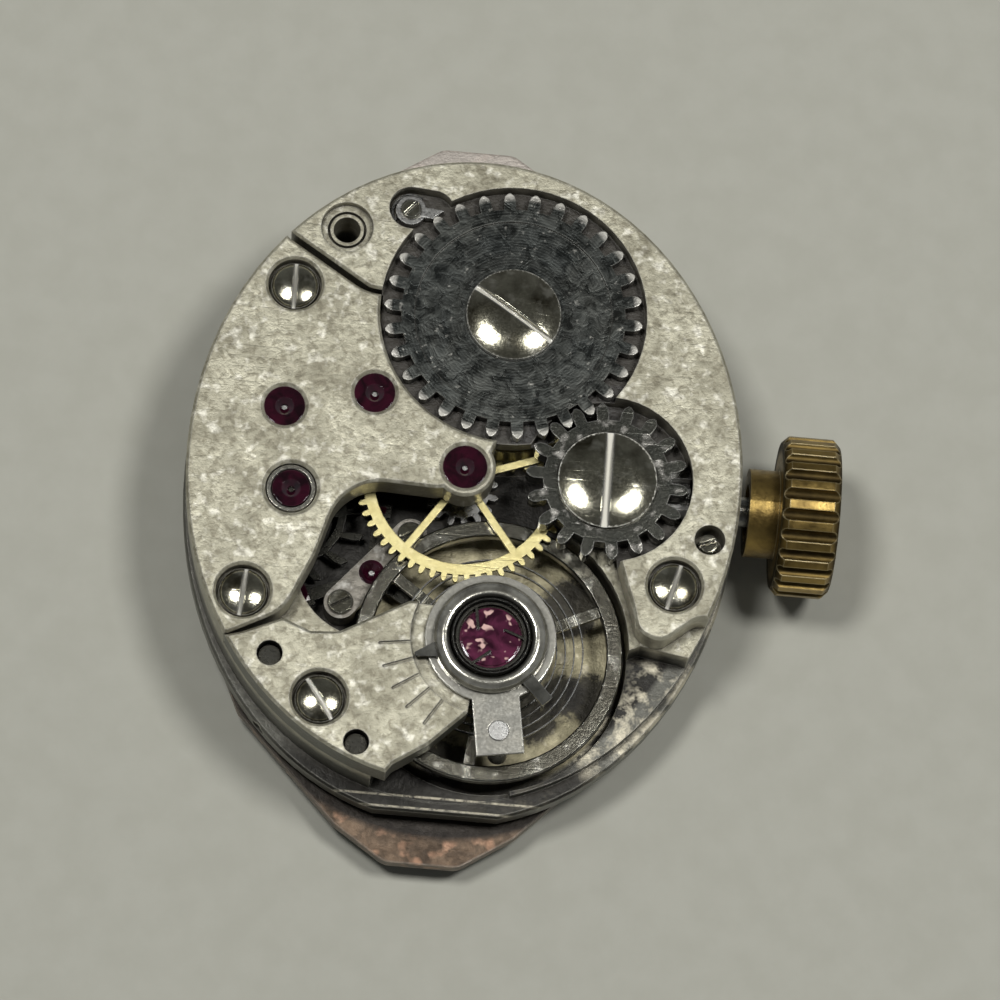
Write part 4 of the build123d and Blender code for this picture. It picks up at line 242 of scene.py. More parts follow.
def metalFinish(name, look):
    # Grained metal with stains, bright edges (partly wear, partly painted highlight), bright specks (partly
    # grain, partly painted glints), painted shade in corners, and hairline scratches.
    finish = Finish(name, metallic=look["metallic"])
    edge, rounded = finish.edges(look["edgeWidth"])
    grain = finish.noise(look["grainSize"], 4.0, 0.7)
    stain = finish.span(finish.noise(look["stainSize"], 5.0, 0.6, warp=0.4), *metalCuts["stain"])
    speck = finish.span(finish.noise(look["speckSize"], 2.0, 0.5), *metalCuts["speck"])
    colour = finish.mix(stain * look["stainShare"], look["base"], look["stain"])
    # bright specks: partly grain, partly painted glints
    colour = finish.mix(speck * look["speckShare"], colour, look["speck"])
    dimple = finish.noise(look["speckSize"] * 0.8, 3.0, 0.6, warp=0.5)
    colour = finish.mix(finish.span(dimple, *metalCuts["dimple"]) * look["pitShare"], colour, look["stain"])
    gloss = edge * 0.3
    bumps = grain
    if "wallToneAndShade" in look:
        # walls take the wall colour: their own tone on the bridges, a painted shade on the balance cock
        wallToneAndShade = 1.0 - finish.facingUp()
        colour = finish.mix(wallToneAndShade * look["wallToneAndShadeShare"], colour, look["wallToneAndShade"])
        gloss = gloss + wallToneAndShade * look["wallGloss"]
    if "pitShadeAndGleam" in look:
        colour = addPit(finish, look, colour, grain)
    if "deep" in look:
        colour, well, inside = addWell(finish, look, colour, grain)
        if "patch" in look:
            colour = addPaintedLightAndShade(finish, look, colour, grain, well, inside)
    if "tip" in look:
        tip = finish.span(finish.at("Y") + stain, look["tipFrom"], look["tipTo"])
        colour = finish.mix(tip * look["tipShare"], colour, look["tip"])
    if "ring" in look:
        away = finish.about(balanceAxis)
        swell = 1.0 - ((away - look["ring"]) / look["ringHalf"]) ** 2.0
        bumps = bumps + swell * look["ringRise"]
    # bright edges: partly wear, partly painted highlight
    colour = finish.mix(edge * look["edgeShare"], colour, look["edge"])
    # painted shade in corners and under edges, by ambient occlusion, standing also for grime
    colour = finish.mix(finish.crevice(look["shadeReach"]) * look["shadeAndGrimeShare"], colour, look["shadeAndGrime"])
    finish.feed("Base Color", colour)
    dull = finish.span(grain + stain * 0.25 - gloss, *metalCuts["gloss"], *look["roughness"])
    finish.feed("Roughness", dull)
    stretched = finish.node("ShaderNodeMapping", None, {
        "Vector": finish.place, "Rotation": (0.0, 0.0, look["scratchTurn"]), "Scale": (1.0, 14.0, 1.0)})
    scratch = finish.span(finish.noise(look["scratchSize"], 2.0, 0.5, stretched), *metalCuts["scratch"])
    finish.bump(bumps - scratch * look["scratchShare"], look["grainDepth"], rounded)
    return finish.material


frostedLook = {
    "base": rgb(0.52, 0.495, 0.375), "stain": rgb(0.16, 0.14, 0.09), "speck": rgb(0.92, 0.89, 0.76),
    "edge": rgb(0.90, 0.87, 0.76), "metallic": 0.5, "roughness": (0.32, 0.62), "grainSize": 0.20,
    "grainDepth": 0.03, "stainSize": 1.1, "stainShare": 0.45, "speckSize": 0.26, "speckShare": 0.75,
    "pitShare": 0.6, "edgeWidth": 0.05, "edgeShare": 0.6, "scratchTurn": 0.5, "scratchSize": 1.2,
    "scratchShare": 0.07, "wallToneAndShade": rgb(0.50, 0.47, 0.38), "wallToneAndShadeShare": 0.6, "wallGloss": 0.5,
    "shadeAndGrime": rgb(0.030, 0.024, 0.016), "shadeReach": 0.30, "shadeAndGrimeShare": 0.85,
}
# painted shade: near black on the sunk floors under the winding wheels
bridgeLook = dict(frostedLook, pitShadeAndGleam=rgb(0.022, 0.018, 0.013), pitFrom=3.21, pitTo=3.16, pitDepth=0.95,
                  pitDull=0.3, pitReach=3.8)
# painted shade: the balance cock's walls painted dark grey
cockLook = dict(frostedLook, wallToneAndShade=rgb(0.13, 0.13, 0.11), wallToneAndShadeShare=0.9)
# the plate's painted light: shade below the bridges and at the foot, highlight patches and bars, reflections
# and shade blots under the balance
plateLook = dict(
    frostedLook, deep=rgb(0.012, 0.010, 0.007), deepFrom=2.34, deepTo=2.05, deepOval=(6.2, 7.3),
    outer=rgb(0.10, 0.10, 0.088), outerShare=0.88,
    patch=rgb(0.72, 0.66, 0.50), patchSize=0.8, patchShare=0.9, patchSide=(0.4, 1.8), patchFoot=(-1.8, -2.6),
    patchOut=(0.90, 0.96), footShare=0.9, footEdge=(-6.3, -6.8), barStep=0.27, barEdge=(-7.25, -7.35),
    olive=rgb(0.20, 0.175, 0.10), tan=rgb(0.62, 0.56, 0.36), sheenSize=0.9, paintedBasinShare=0.92,
    basinEdge=(3.15, 3.05),
    shadeBlots=[(2.8, -2.6, 0.72), (2.05, -5.25, 0.68), (3.4, -4.75, 0.62), (2.75, -4.7, 0.5), (0.2, -6.6, 0.6)])
# a darker copy of the bridge finish: painted shade on the pallet bridge
shadedPalletLook = dict(
    frostedLook, base=rgb(0.26, 0.24, 0.20), stain=rgb(0.10, 0.09, 0.07), speck=rgb(0.55, 0.53, 0.48),
    wallToneAndShadeShare=0.0)
steelLook = {
    "base": rgb(0.38, 0.38, 0.36), "stain": rgb(0.14, 0.13, 0.12), "speck": rgb(0.62, 0.61, 0.57),
    "edge": rgb(0.97, 0.95, 0.90), "metallic": 0.95, "roughness": (0.16, 0.40), "grainSize": 0.06,
    "grainDepth": 0.004, "stainSize": 0.6, "stainShare": 0.5, "speckSize": 0.16, "speckShare": 0.2,
    "pitShare": 0.2, "edgeWidth": 0.03, "edgeShare": 0.7, "scratchTurn": 0.5, "scratchSize": 1.2,
    "scratchShare": 0.5, "shadeAndGrime": rgb(0.020, 0.017, 0.012), "shadeReach": 0.18, "shadeAndGrimeShare": 0.8,
}
brightLook = dict(
    steelLook, base=rgb(0.60, 0.58, 0.50), stain=rgb(0.16, 0.15, 0.12), roughness=(0.08, 0.26),
    grainDepth=0.002, stainShare=0.8, edgeWidth=0.05, edgeShare=0.9)
regulatorLook = dict(
    brightLook, base=rgb(0.76, 0.74, 0.64), metallic=0.8, ring=1.08, ringHalf=0.13, ringRise=22.0)
smoothLook = dict(
    brightLook, base=rgb(0.78, 0.76, 0.67), stain=rgb(0.40, 0.38, 0.31), metallic=0.65, grainDepth=0.001,
    speckShare=0.1, stainShare=0.6)
# steel painted near black: painted shade for small parts down in the movement
shadeLook = dict(
    steelLook, base=rgb(0.030, 0.029, 0.024), stain=rgb(0.012, 0.012, 0.010), speck=rgb(0.07, 0.066, 0.055),
    edgeShare=0.25)
screwLook = dict(
    steelLook, base=rgb(0.56, 0.54, 0.42), stain=rgb(0.07, 0.06, 0.035), speck=rgb(0.95, 0.92, 0.78),
    roughness=(0.05, 0.20), grainDepth=0.0016, edge=rgb(1.0, 0.98, 0.92), edgeWidth=0.06, edgeShare=0.95,
    stainSize=0.8, stainShare=0.95, speckSize=0.34, speckShare=0.6, shadeReach=0.10)
brassLook = dict(
    steelLook, base=rgb(0.62, 0.55, 0.27), stain=rgb(0.34, 0.28, 0.11), speck=rgb(0.88, 0.82, 0.54),
    edge=rgb(0.95, 0.90, 0.64), roughness=(0.24, 0.44), edgeShare=0.45)
# bright specks on the balance: painted reflections
balanceLook = dict(
    steelLook, base=rgb(0.26, 0.25, 0.20), stain=rgb(0.045, 0.04, 0.03), speck=rgb(0.78, 0.76, 0.66),
    roughness=(0.08, 0.26), stainShare=0.95, stainSize=0.9, speckShare=0.8, speckSize=0.42)
springLook = dict(
    steelLook, base=rgb(0.12, 0.12, 0.115), stain=rgb(0.05, 0.05, 0.045), speck=rgb(0.5, 0.48, 0.42),
    edgeWidth=0.01, edgeShare=0.3, shadeAndGrimeShare=0.3)
# bright specks and edges on the crown wheel: painted highlights
crownWheelLook = dict(
    steelLook, base=rgb(0.12, 0.12, 0.10), stain=rgb(0.02, 0.022, 0.018), speck=rgb(0.92, 0.88, 0.80),
    roughness=(0.08, 0.30), metallic=0.75, edgeShare=0.9, edgeWidth=0.04, speckShare=0.75, speckSize=0.34,
    stainShare=0.8, shadeAndGrimeShare=0.95)
# the dial: near black under the plate and darker near it, painted shade; bright edges, painted highlight
dialLook = dict(
    frostedLook, base=rgb(0.20, 0.135, 0.085), stain=rgb(0.045, 0.030, 0.018), speck=rgb(0.60, 0.35, 0.22),
    edge=rgb(0.86, 0.74, 0.62), edgeWidth=0.09, edgeShare=0.75, metallic=0.55, stainSize=1.3,
    stainShare=0.95, speckSize=0.45, wallToneAndShadeShare=0.0, shadeReach=1.1, shadeAndGrimeShare=1.0,
    deep=rgb(0.008, 0.006, 0.005), deepFrom=5.0, deepTo=4.0, deepOval=(7.0, 8.36),
    outer=rgb(0.30, 0.22, 0.17), outerShare=0.0,
    tip=rgb(0.52, 0.475, 0.42), tipFrom=7.4, tipTo=8.2, tipShare=0.85)
rubberLook = dict(
    frostedLook, base=rgb(0.025, 0.025, 0.025), stain=rgb(0.04, 0.04, 0.04), speck=rgb(0.06, 0.06, 0.06),
    edge=rgb(0.08, 0.08, 0.08), metallic=0.0, roughness=(0.6, 0.8), wallToneAndShadeShare=0.0)


def jewelFinish(name, look):
    # Polished stone: dark heart, a painted highlight on the rim, painted glints where the look has them, clear
    # coat.
    finish = Finish(name, roughness=look["roughness"], coat=1.0, ior=1.76)
    cloud = finish.noise(look["cloudSize"], 3.0, 0.5, warp=0.8)
    edge, rounded = finish.edges(look["edgeWidth"])
    colour = finish.mix(finish.span(cloud, 0.35, 0.7), look["dark"], look["light"])
    # painted glints
    if "glint" in look:
        reach = finish.about(balanceAxis)
        ring = finish.span(reach, *look["glintFrom"]) * finish.span(reach, *look["glintTo"])
        glints = finish.span(finish.noise(look["glintSize"], 1.0, 0.5), *look["glintCut"])
        colour = finish.mix(ring * glints, colour, look["glint"])
    # painted highlight on the rim
    finish.feed("Base Color", finish.mix(edge * look["rimHighlightShare"], colour, look["rim"]))
    finish.bump(cloud, look["cloudDepth"], rounded)
    return finish.material


rubyLook = {
    "dark": rgb(0.010, 0.001, 0.004), "light": rgb(0.045, 0.003, 0.014), "rim": rgb(0.22, 0.06, 0.10),
    "rimHighlightShare": 0.25, "edgeWidth": 0.03, "roughness": 0.05, "cloudSize": 0.35, "cloudDepth": 0.004,
}
capRubyLook = dict(
    rubyLook, dark=rgb(0.030, 0.004, 0.014), light=rgb(0.16, 0.03, 0.075), glint=rgb(0.95, 0.62, 0.56),
    glintSize=0.2, glintFrom=(0.16, 0.24), glintTo=(0.70, 0.60), glintCut=(0.57, 0.63))


def ratchetFinish(name, look):
    # Blackened steel with turned rings, bright tooth tips and flecks that are partly bare steel and partly
    # painted highlight, and painted shade in corners.
    finish = Finish(name, metallic=look["metallic"])
    edge, rounded = finish.edges(look["edgeWidth"])
    reach = finish.about(look["axis"])
    wobble = finish.noise(look["wobbleSize"], 3.0)
    tips = finish.span(reach + wobble * 0.12, look["bareAndLitFrom"], look["bareAndLitTo"])
    mottle = finish.span(finish.noise(look["mottleSize"], 4.0, 0.65, warp=0.6), 0.36, 0.70)
    fleck = finish.span(finish.noise(look["fleckSize"], 2.0, 0.5), 0.66, 0.76)
    cloud = finish.span(finish.noise(look["cloudSize"], 3.0, 0.6, warp=0.6), 0.3, 0.7)
    dark = finish.mix(mottle, look["black"], look["grey"])
    dark = finish.mix(cloud * look["blueShare"], dark, look["blue"])
    # bright tips, edges and flecks: partly bare steel, partly painted highlight
    worn = tips + edge * look["edgeShare"] + fleck * look["fleckShare"]
    bareAndLit = finish.mix(worn * look["bareAndLitShare"], dark, look["bareAndLit"])
    step = finish.span(reach, look["stepTo"], look["stepFrom"]) * finish.span(reach, *look["stepInner"])
    bareAndLit = finish.mix(step * look["stepShare"], bareAndLit, look["black"])
    # painted shade in corners, by ambient occlusion
    shadeAndGrime = finish.crevice(look["shadeReach"]) * look["shadeAndGrimeShare"]
    finish.feed("Base Color", finish.mix(shadeAndGrime, bareAndLit, look["black"]))
    finish.feed("Metallic", look["metallic"] - tips * look["tipDull"])
    finish.feed("Roughness", finish.span(mottle - tips * 0.5, -0.5, 1.0, *look["roughness"]))
    rings = (reach * look["ringsPerMm"] * 2 * math.pi).maths("SINE")
    finish.bump(mottle * 0.8 + rings * look["ringShare"], look["depth"], rounded)
    return finish.material


ratchetLook = {
    "axis": barrelAxis, "metallic": 0.85, "roughness": (0.16, 0.44), "edgeWidth": 0.04, "edgeShare": 0.5,
    "bareAndLitFrom": 2.92, "bareAndLitTo": 3.06, "bareAndLitShare": 0.8, "tipDull": 0.6, "wobbleSize": 0.5,
    "black": rgb(0.022, 0.023, 0.020), "grey": rgb(0.085, 0.088, 0.078), "blue": rgb(0.030, 0.036, 0.036),
    "bareAndLit": rgb(0.86, 0.83, 0.74), "blueShare": 0.5, "mottleSize": 0.30, "fleckSize": 0.16,
    "fleckShare": 0.30, "cloudSize": 1.3, "ringsPerMm": 14.0, "ringShare": 0.05, "depth": 0.008,
    "stepFrom": 1.32, "stepTo": 1.62, "stepInner": (1.2, 1.3), "stepShare": 0.6,
    "shadeReach": 0.25, "shadeAndGrimeShare": 0.9,
}


def giltFinish(name, look):
    # Worn gilding: painted highlights on the ridges' edges, darker down in the grooves, and painted shade in
    # the nooks.
    finish = Finish(name, metallic=look["metallic"])
    edge, rounded = finish.edges(look["edgeWidth"])
    reach = finish.about(look["axis"], "X")
    grain = finish.noise(look["grainSize"], 4.0, 0.6)
    patch = finish.span(finish.noise(look["patchSize"], 4.0, 0.6, warp=0.5), 0.35, 0.65)
    worn = finish.mix(patch * look["patchShare"], look["gold"], look["brown"])
    # darker down in the grooves
    shadeAndGrime = finish.span(reach + grain * 0.05, look["grooveTo"], look["grooveFrom"])
    rim = finish.span(reach, look["grooveFrom"] - 0.35, look["grooveFrom"] - 0.2)
    colour = finish.mix(shadeAndGrime * rim * look["shadeAndGrimeShare"], worn, look["shadeAndGrime"])
    # painted shade in the nooks, by ambient occlusion
    nook = finish.crevice(look["shadeReach"], 0.3, 0.8) * look["shadeAndGrimeShare"]
    colour = finish.mix(nook, colour, look["shadeAndGrime"])
    # painted highlight on the ridges' edges
    finish.feed("Base Color", finish.mix(edge * look["edgeShare"], colour, look["bright"]))
    finish.feed("Roughness", finish.span(grain + shadeAndGrime * rim * 0.4, 0.2, 1.1, *look["roughness"]))
    finish.bump(grain, look["grainDepth"], rounded)
    return finish.material


giltLook = {
    "axis": stemAxis, "metallic": 0.9, "roughness": (0.24, 0.6), "edgeWidth": 0.05, "edgeShare": 0.5,
    "grooveFrom": 1.78, "grooveTo": 1.90, "grainSize": 0.12, "grainDepth": 0.008, "patchSize": 0.8,
    "patchShare": 0.75, "gold": rgb(0.34, 0.235, 0.072), "brown": rgb(0.085, 0.055, 0.017),
    "bright": rgb(1.0, 0.86, 0.52), "shadeAndGrime": rgb(0.014, 0.009, 0.003), "shadeReach": 0.35,
    "shadeAndGrimeShare": 0.9,
}

frosted = metalFinish("frostedNickel", bridgeLook)
plateMetal = metalFinish("plateNickel", plateLook)
shadedPalletMetal = metalFinish("shadedPalletNickel", shadedPalletLook)
steel = metalFinish("groundSteel", steelLook)
brightSteel = metalFinish("brightSteel", brightLook)
regulatorSteel = metalFinish("regulatorSteel", regulatorLook)
smoothSteel = metalFinish("smoothSteel", smoothLook)
cockMetal = metalFinish("cockNickel", cockLook)
shadeSteel = metalFinish("shadeSteel", shadeLook)
polished = metalFinish("polishedScrew", screwLook)
brass = metalFinish("trainBrass", brassLook)
balanceMetal = metalFinish("balanceMetal", balanceLook)
springSteel = metalFinish("springSteel", springLook)
crownWheelSteel = metalFinish("crownWheelSteel", crownWheelLook)
dialBack = metalFinish("dialBack", dialLook)
rubber = metalFinish("gasketRubber", rubberLook)
ruby = jewelFinish("ruby", rubyLook)
capRuby = jewelFinish("capRuby", capRubyLook)
blackened = ratchetFinish("blackenedSteel", ratchetLook)
gilt = giltFinish("wornGilt", giltLook)

nodeFinishes = {
    frosted: ["barrel_bridge", "train_bridge"],
    cockMetal: ["balance_cock"],
    plateMetal: ["main_plate"],
    shadedPalletMetal: ["pallet_bridge"],
    steel: ["barrel_arbor", "center_pinion", "third_pinion", "stud",
            "fourth_pinion", "pallet_staff", "balance_staff", "winding_pinion", "click",
            "sliding_pinion", "setting_lever", "yoke", "setting_wheel", "cannon_pinion", "setting_jumper",
            "stem", "lower_shock"],
    brightSteel: ["escape_chaton"],
    regulatorSteel: ["regulator"],
    smoothSteel: ["stud_carrier"],
    shadeSteel: ["plate_pins", "shock_block", "roller", "escape_pinion", "shock_spring", "escape_wheel",
                 "pallet_fork"],
    polished: ["setting_lever_screw", "bridge_screws", "small_screws", "ratchet_screw", "crown_wheel_screw"],
    brass: ["barrel_drum", "barrel_cover", "center_wheel", "third_wheel", "fourth_wheel", "collet",
            "minute_wheel", "hour_wheel"],
    balanceMetal: ["balance_wheel"],
    springSteel: ["mainspring", "hairspring", "yoke_spring", "click_spring"],
    crownWheelSteel: ["crown_wheel"],
    dialBack: ["dial"],
    rubber: ["crown_gasket"],
    ruby: ["bridge_jewels", "plate_jewels", "pallet_stones", "impulse_jewel"],
    capRuby: ["shock_jewels"],
    blackened: ["ratchet_wheel"],
    gilt: ["crown"],
}
for finish, names in nodeFinishes.items():
    for name in names:
        node = nodes[name]
        if not node.material_slots:
            node.data.materials.append(finish)
        for slot in node.material_slots:
            slot.material = finish
print("finishes given:", sum(len(names) for names in nodeFinishes.values()), "nodes")


# Node trees that grow the repeated pieces
class Recipe:
    # One tree of geometry nodes, with its sizes as named inputs.
    def __init__(self, name, sizes):
        self.tree = bpy.data.node_groups.new(name, "GeometryNodeTree")
        face = self.tree.interface
        face.new_socket(name="Geometry", in_out="INPUT", socket_type="NodeSocketGeometry")
        kinds = {float: "NodeSocketFloat", int: "NodeSocketInt"}
        self.sizes = {key: self.addInput(face, key, kinds[type(value)]) for key, value in sizes.items()}
        self.blank = self.addInput(face, "Blank", "NodeSocketObject")
        self.finish = self.addInput(face, "Finish", "NodeSocketMaterial")
        face.new_socket(name="Geometry", in_out="OUTPUT", socket_type="NodeSocketGeometry")
        self.given = self.tree.nodes.new("NodeGroupInput").outputs
        self.result = self.tree.nodes.new("NodeGroupOutput").inputs

    def addInput(self, face, name, kind):
        return face.new_socket(name=name, in_out="INPUT", socket_type=kind).identifier

    def node(self, kind, settings=None, inputs=None, output=0):
        made = self.tree.nodes.new(kind)
        for key, value in (settings or {}).items():
            setattr(made, key, value)
        for key, value in (inputs or {}).items():
            if isinstance(value, bpy.types.NodeSocket):
                self.tree.links.new(value, made.inputs[key])
            else:
                made.inputs[key].default_value = value
        return made.outputs[output]

    def end(self, geometry):
        real = self.node("GeometryNodeRealizeInstances", None, {"Geometry": geometry})
        coloured = self.node("GeometryNodeSetMaterial", None, {
            "Geometry": real, "Material": self.given["Finish"]})
        self.tree.links.new(coloured, self.result["Geometry"])


def plainMesh(piece, name):
    # The evaluated piece as a mesh of its own.
    seen = piece.evaluated_get(bpy.context.evaluated_depsgraph_get())
    mesh = bpy.data.meshes.new_from_object(seen)
    mesh.name = name
    return mesh


def addPiece(name, mesh, body, replaced=()):
    piece = bpy.data.objects.new(name, mesh)
    bpy.context.scene.collection.objects.link(piece)
    if replaced:
        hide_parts(*replaced)
    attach(piece, body)
    return piece


def soften(mesh):
    # Smooth shading with the sharp corners kept.
    work = bmesh.new()
    work.from_mesh(mesh)
    bmesh.ops.remove_doubles(work, verts=work.verts, dist=weldDistance)
    bmesh.ops.recalc_face_normals(work, faces=work.faces)
    for face in work.faces:
        face.smooth = True
    for edge in work.edges:
        edge.smooth = len(edge.link_faces) == 2 and edge.calc_face_angle(0.0) < math.radians(sharpLimit)
    work.to_mesh(mesh)
    work.free()


def grow(name, recipe, sizes, finish, body, replaced, source=None, blank=None):
    # Runs a recipe on a seed mesh and sets the result in place of the solids that it stands for.
    holder = bpy.data.objects.new(name + "Seed", source or bpy.data.meshes.new(name + "Seed"))
    bpy.context.scene.collection.objects.link(holder)
    modifier = holder.modifiers.new("grow", "NODES")
    modifier.node_group = recipe.tree
    for key, value in sizes.items():
        modifier[recipe.sizes[key]] = value
    modifier[recipe.blank] = blank
    modifier[recipe.finish] = finish
    bpy.context.view_layer.update()
    mesh = plainMesh(holder, name)
    holder.modifiers.remove(modifier)
    bpy.data.objects.remove(holder)
    soften(mesh)
    return addPiece(name, mesh, body, replaced)


# Hairspring: a fine flat coil, with more turns than the solid that it stands for
coilSpec = {"start": 0.405, "end": 2.255, "turns": 9.0, "strip": 0.028, "tall": 0.12, "turn": -81.0,
            "steps": 96}
coilRecipe = Recipe("hairspringCoil", {
    "Start": 1.0, "End": 1.0, "Turns": 1.0, "Strip": 1.0, "Tall": 1.0, "Steps": 1})
coilLine = coilRecipe.node("GeometryNodeCurveSpiral", None, {
    "Resolution": coilRecipe.given["Steps"], "Rotations": coilRecipe.given["Turns"],
    "Start Radius": coilRecipe.given["Start"], "End Radius": coilRecipe.given["End"], "Height": 0.0})
coilLine = coilRecipe.node("GeometryNodeSetCurveNormal", {"mode": "Z_UP"}, {"Curve": coilLine})
coilStrip = coilRecipe.node("GeometryNodeCurvePrimitiveQuadrilateral", None, {
    "Width": coilRecipe.given["Strip"], "Height": coilRecipe.given["Tall"]})
coilRecipe.end(coilRecipe.node("GeometryNodeCurveToMesh", None, {
    "Curve": coilLine, "Profile Curve": coilStrip, "Fill Caps": True}))
springLow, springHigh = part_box("hairspring")
hairspring = grow("hairspringCoil", coilRecipe, {
    "Start": coilSpec["start"] * mm, "End": coilSpec["end"] * mm, "Turns": coilSpec["turns"],
    "Strip": coilSpec["strip"] * mm, "Tall": coilSpec["tall"] * mm, "Steps": coilSpec["steps"]},
    springSteel, "stud_arm", ["hairspring"])
hairspring.data.transform(
    Matrix.Translation((balanceAxis[0] * mm, balanceAxis[1] * mm, (springLow[2] + springHigh[2]) / 2))
    @ Matrix.Rotation(math.radians(coilSpec["turn"]), 4, "Z"))

# Screws: a turned blank with a domed head and a milled slot, set at each of its places
screwRecipe = Recipe("screwPlaces", {"Seat": 1.0})
screwTurn = screwRecipe.node("GeometryNodeInputNamedAttribute", {"data_type": "FLOAT"}, {"Name": "turn"})
screwTurn = screwRecipe.node("ShaderNodeCombineXYZ", None, {"Z": screwTurn})
screwRise = screwRecipe.node("ShaderNodeCombineXYZ", None, {"Z": screwRecipe.given["Seat"]})
screwSeats = screwRecipe.node("GeometryNodeSetPosition", None, {
    "Geometry": screwRecipe.given["Geometry"], "Offset": screwRise})
screwBlank = screwRecipe.node("GeometryNodeObjectInfo", None, {
    "Object": screwRecipe.given["Blank"]}, "Geometry")
screwRecipe.end(screwRecipe.node("GeometryNodeInstanceOnPoints", None, {
    "Points": screwSeats, "Instance": screwBlank, "Rotation": screwTurn}))

domeSteps = 14  # rings of a head's dome
turnSteps = 72  # facets round a turned blank
cutterReach = 1.4  # shares of the head's radius
cutterRise = 0.4  # above the head, in millimetres
# painted highlight: a slot's floor painted bright
slotRim = 0.07  # the bright floor of a slot ends this far above its deepest face
slotFinish = {"pitShadeAndGleam": rgb(0.97, 0.94, 0.82), "pitDepth": 0.95, "pitDull": 0.8, "pitReach": 30.0}
screwSpecs = [
    {"name": "bridgeScrewSet", "node": "bridge_screws", "body": "movement", "head": 0.56, "tall": 0.30,
     "shank": 0.26, "grip": 0.75, "dome": 0.10, "rim": 0.05, "rimFrom": 0.88, "slot": 0.10, "slotDepth": 0.16,
     "places": [(-4.342, 4.1192, 91.0), (-4.888, -3.4504, 86.0), (5.07, -2.432, 76.0),
                (-2.912, -5.8292, 125.0)]},
    {"name": "ratchetScrewHead", "node": "ratchet_screw", "body": "ratchet", "head": 1.12, "tall": 0.20,
     "shank": 0.30, "grip": None, "dome": 0.03, "rim": 0.11, "rimFrom": 0.35, "slot": 0.13, "slotDepth": 0.17,
     "places": [(0.8515, 3.8608, -32.5)]},
    {"name": "crownWheelScrewHead", "node": "crown_wheel_screw", "body": "movement", "head": 1.16, "tall": 0.22,
     "shank": 0.30, "grip": None, "dome": 0.03, "rim": 0.11, "rimFrom": 0.35, "slot": 0.17, "slotDepth": 0.17,
     "places": [(3.341, 0.0, 90.0)]},
]


def screwProfile(spec, grip):
    # Radius and height pairs from the head's middle down to the shank's end, the top at zero.
    top = []
    for step in range(domeSteps + 1):
        share = step / domeSteps
        past = max(0.0, share - spec["rimFrom"]) / (1 - spec["rimFrom"])
        top.append((spec["head"] * share, -spec["dome"] * share ** 2 - spec["rim"] * past ** 2))
    return top + [(spec["head"], -spec["tall"]), (spec["shank"], -spec["tall"]),
                  (spec["shank"], -spec["tall"] - grip), (0.0, -spec["tall"] - grip)]


def spinMesh(name, profile):
    # A closed turned body from radius and height pairs.
    work = bmesh.new()
    line = [work.verts.new((radius * mm, 0.0, height * mm)) for radius, height in profile]
    edges = [work.edges.new(pair) for pair in zip(line, line[1:])]
    bmesh.ops.spin(work, geom=line + edges, cent=(0, 0, 0), axis=(0, 0, 1), angle=2 * math.pi,
                   steps=turnSteps, use_duplicate=False)
    bmesh.ops.remove_doubles(work, verts=work.verts, dist=weldDistance)
    bmesh.ops.dissolve_degenerate(work, dist=weldDistance / 10, edges=work.edges)
    bmesh.ops.recalc_face_normals(work, faces=work.faces)
    mesh = bpy.data.meshes.new(name)
    work.to_mesh(mesh)
    work.free()
    return mesh


def slotCutter(spec):
    # The milling cutter's path across the head.
    long, half, deep = spec["head"] * cutterReach * mm, spec["slot"] / 2 * mm, -spec["slotDepth"] * mm
    work = bmesh.new()
    corners = [work.verts.new((x, y, z)) for z in (deep, cutterRise * mm) for x, y in
               ((-long, -half), (long, -half), (long, half), (-long, half))]
    for ring in ((3, 2, 1, 0), (4, 5, 6, 7), (0, 1, 5, 4), (1, 2, 6, 5), (2, 3, 7, 6), (3, 0, 4, 7)):
        work.faces.new([corners[index] for index in ring])
    mesh = bpy.data.meshes.new("slotCutter")
    work.to_mesh(mesh)
    work.free()
    return mesh


for spec in screwSpecs:
    low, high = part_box(spec["node"])
    grip = spec["grip"] or (high[2] - low[2]) / mm - spec["tall"]
    blank = bpy.data.objects.new("screwBlank", spinMesh("screwBlank", screwProfile(spec, grip)))
    cutter = bpy.data.objects.new("slotCutter", slotCutter(spec))
    for helper in (blank, cutter):
        bpy.context.scene.collection.objects.link(helper)
    cut = blank.modifiers.new("slot", "BOOLEAN")
    cut.operation, cut.solver, cut.object = "DIFFERENCE", "EXACT", cutter
    bpy.context.view_layer.update()
    milled = plainMesh(blank, "milledBlank")
    blank.modifiers.remove(cut)
    blank.data = milled
    seats = bpy.data.meshes.new("screwSeats")
    seats.from_pydata([(x * mm, y * mm, 0.0) for x, y, turn in spec["places"]], [], [])
    turns = seats.attributes.new("turn", "FLOAT", "POINT")
    turns.data.foreach_set("value", [math.radians(turn) for x, y, turn in spec["places"]])
    slotFloor = high[2] / mm - spec["slotDepth"]
    slotted = metalFinish(spec["name"] + "Steel", dict(
        screwLook, pitFrom=slotFloor + slotRim, pitTo=slotFloor + slotRim - 0.02, **slotFinish))
    grow(spec["name"], screwRecipe, {"Seat": high[2]}, slotted, spec["body"], [spec["node"]],
         source=seats, blank=blank)
    for helper in (blank, cutter):
        bpy.data.objects.remove(helper)
print("grown pieces: hairspring and", len(screwSpecs), "sets of screws")

# The camera stands at the photograph's viewing angle
cameraSpec = {"tilt": 17.0, "lean": -6.0, "roll": 4.5, "reach": 110.0, "target": (0.0, -0.1, 3.3),
              "pixelsPerMm": 42.9, "targetPixel": (465.0, 470.0), "frame": 1000.0, "sensor": 36.0,
              "near": 0.002, "far": 5.0}


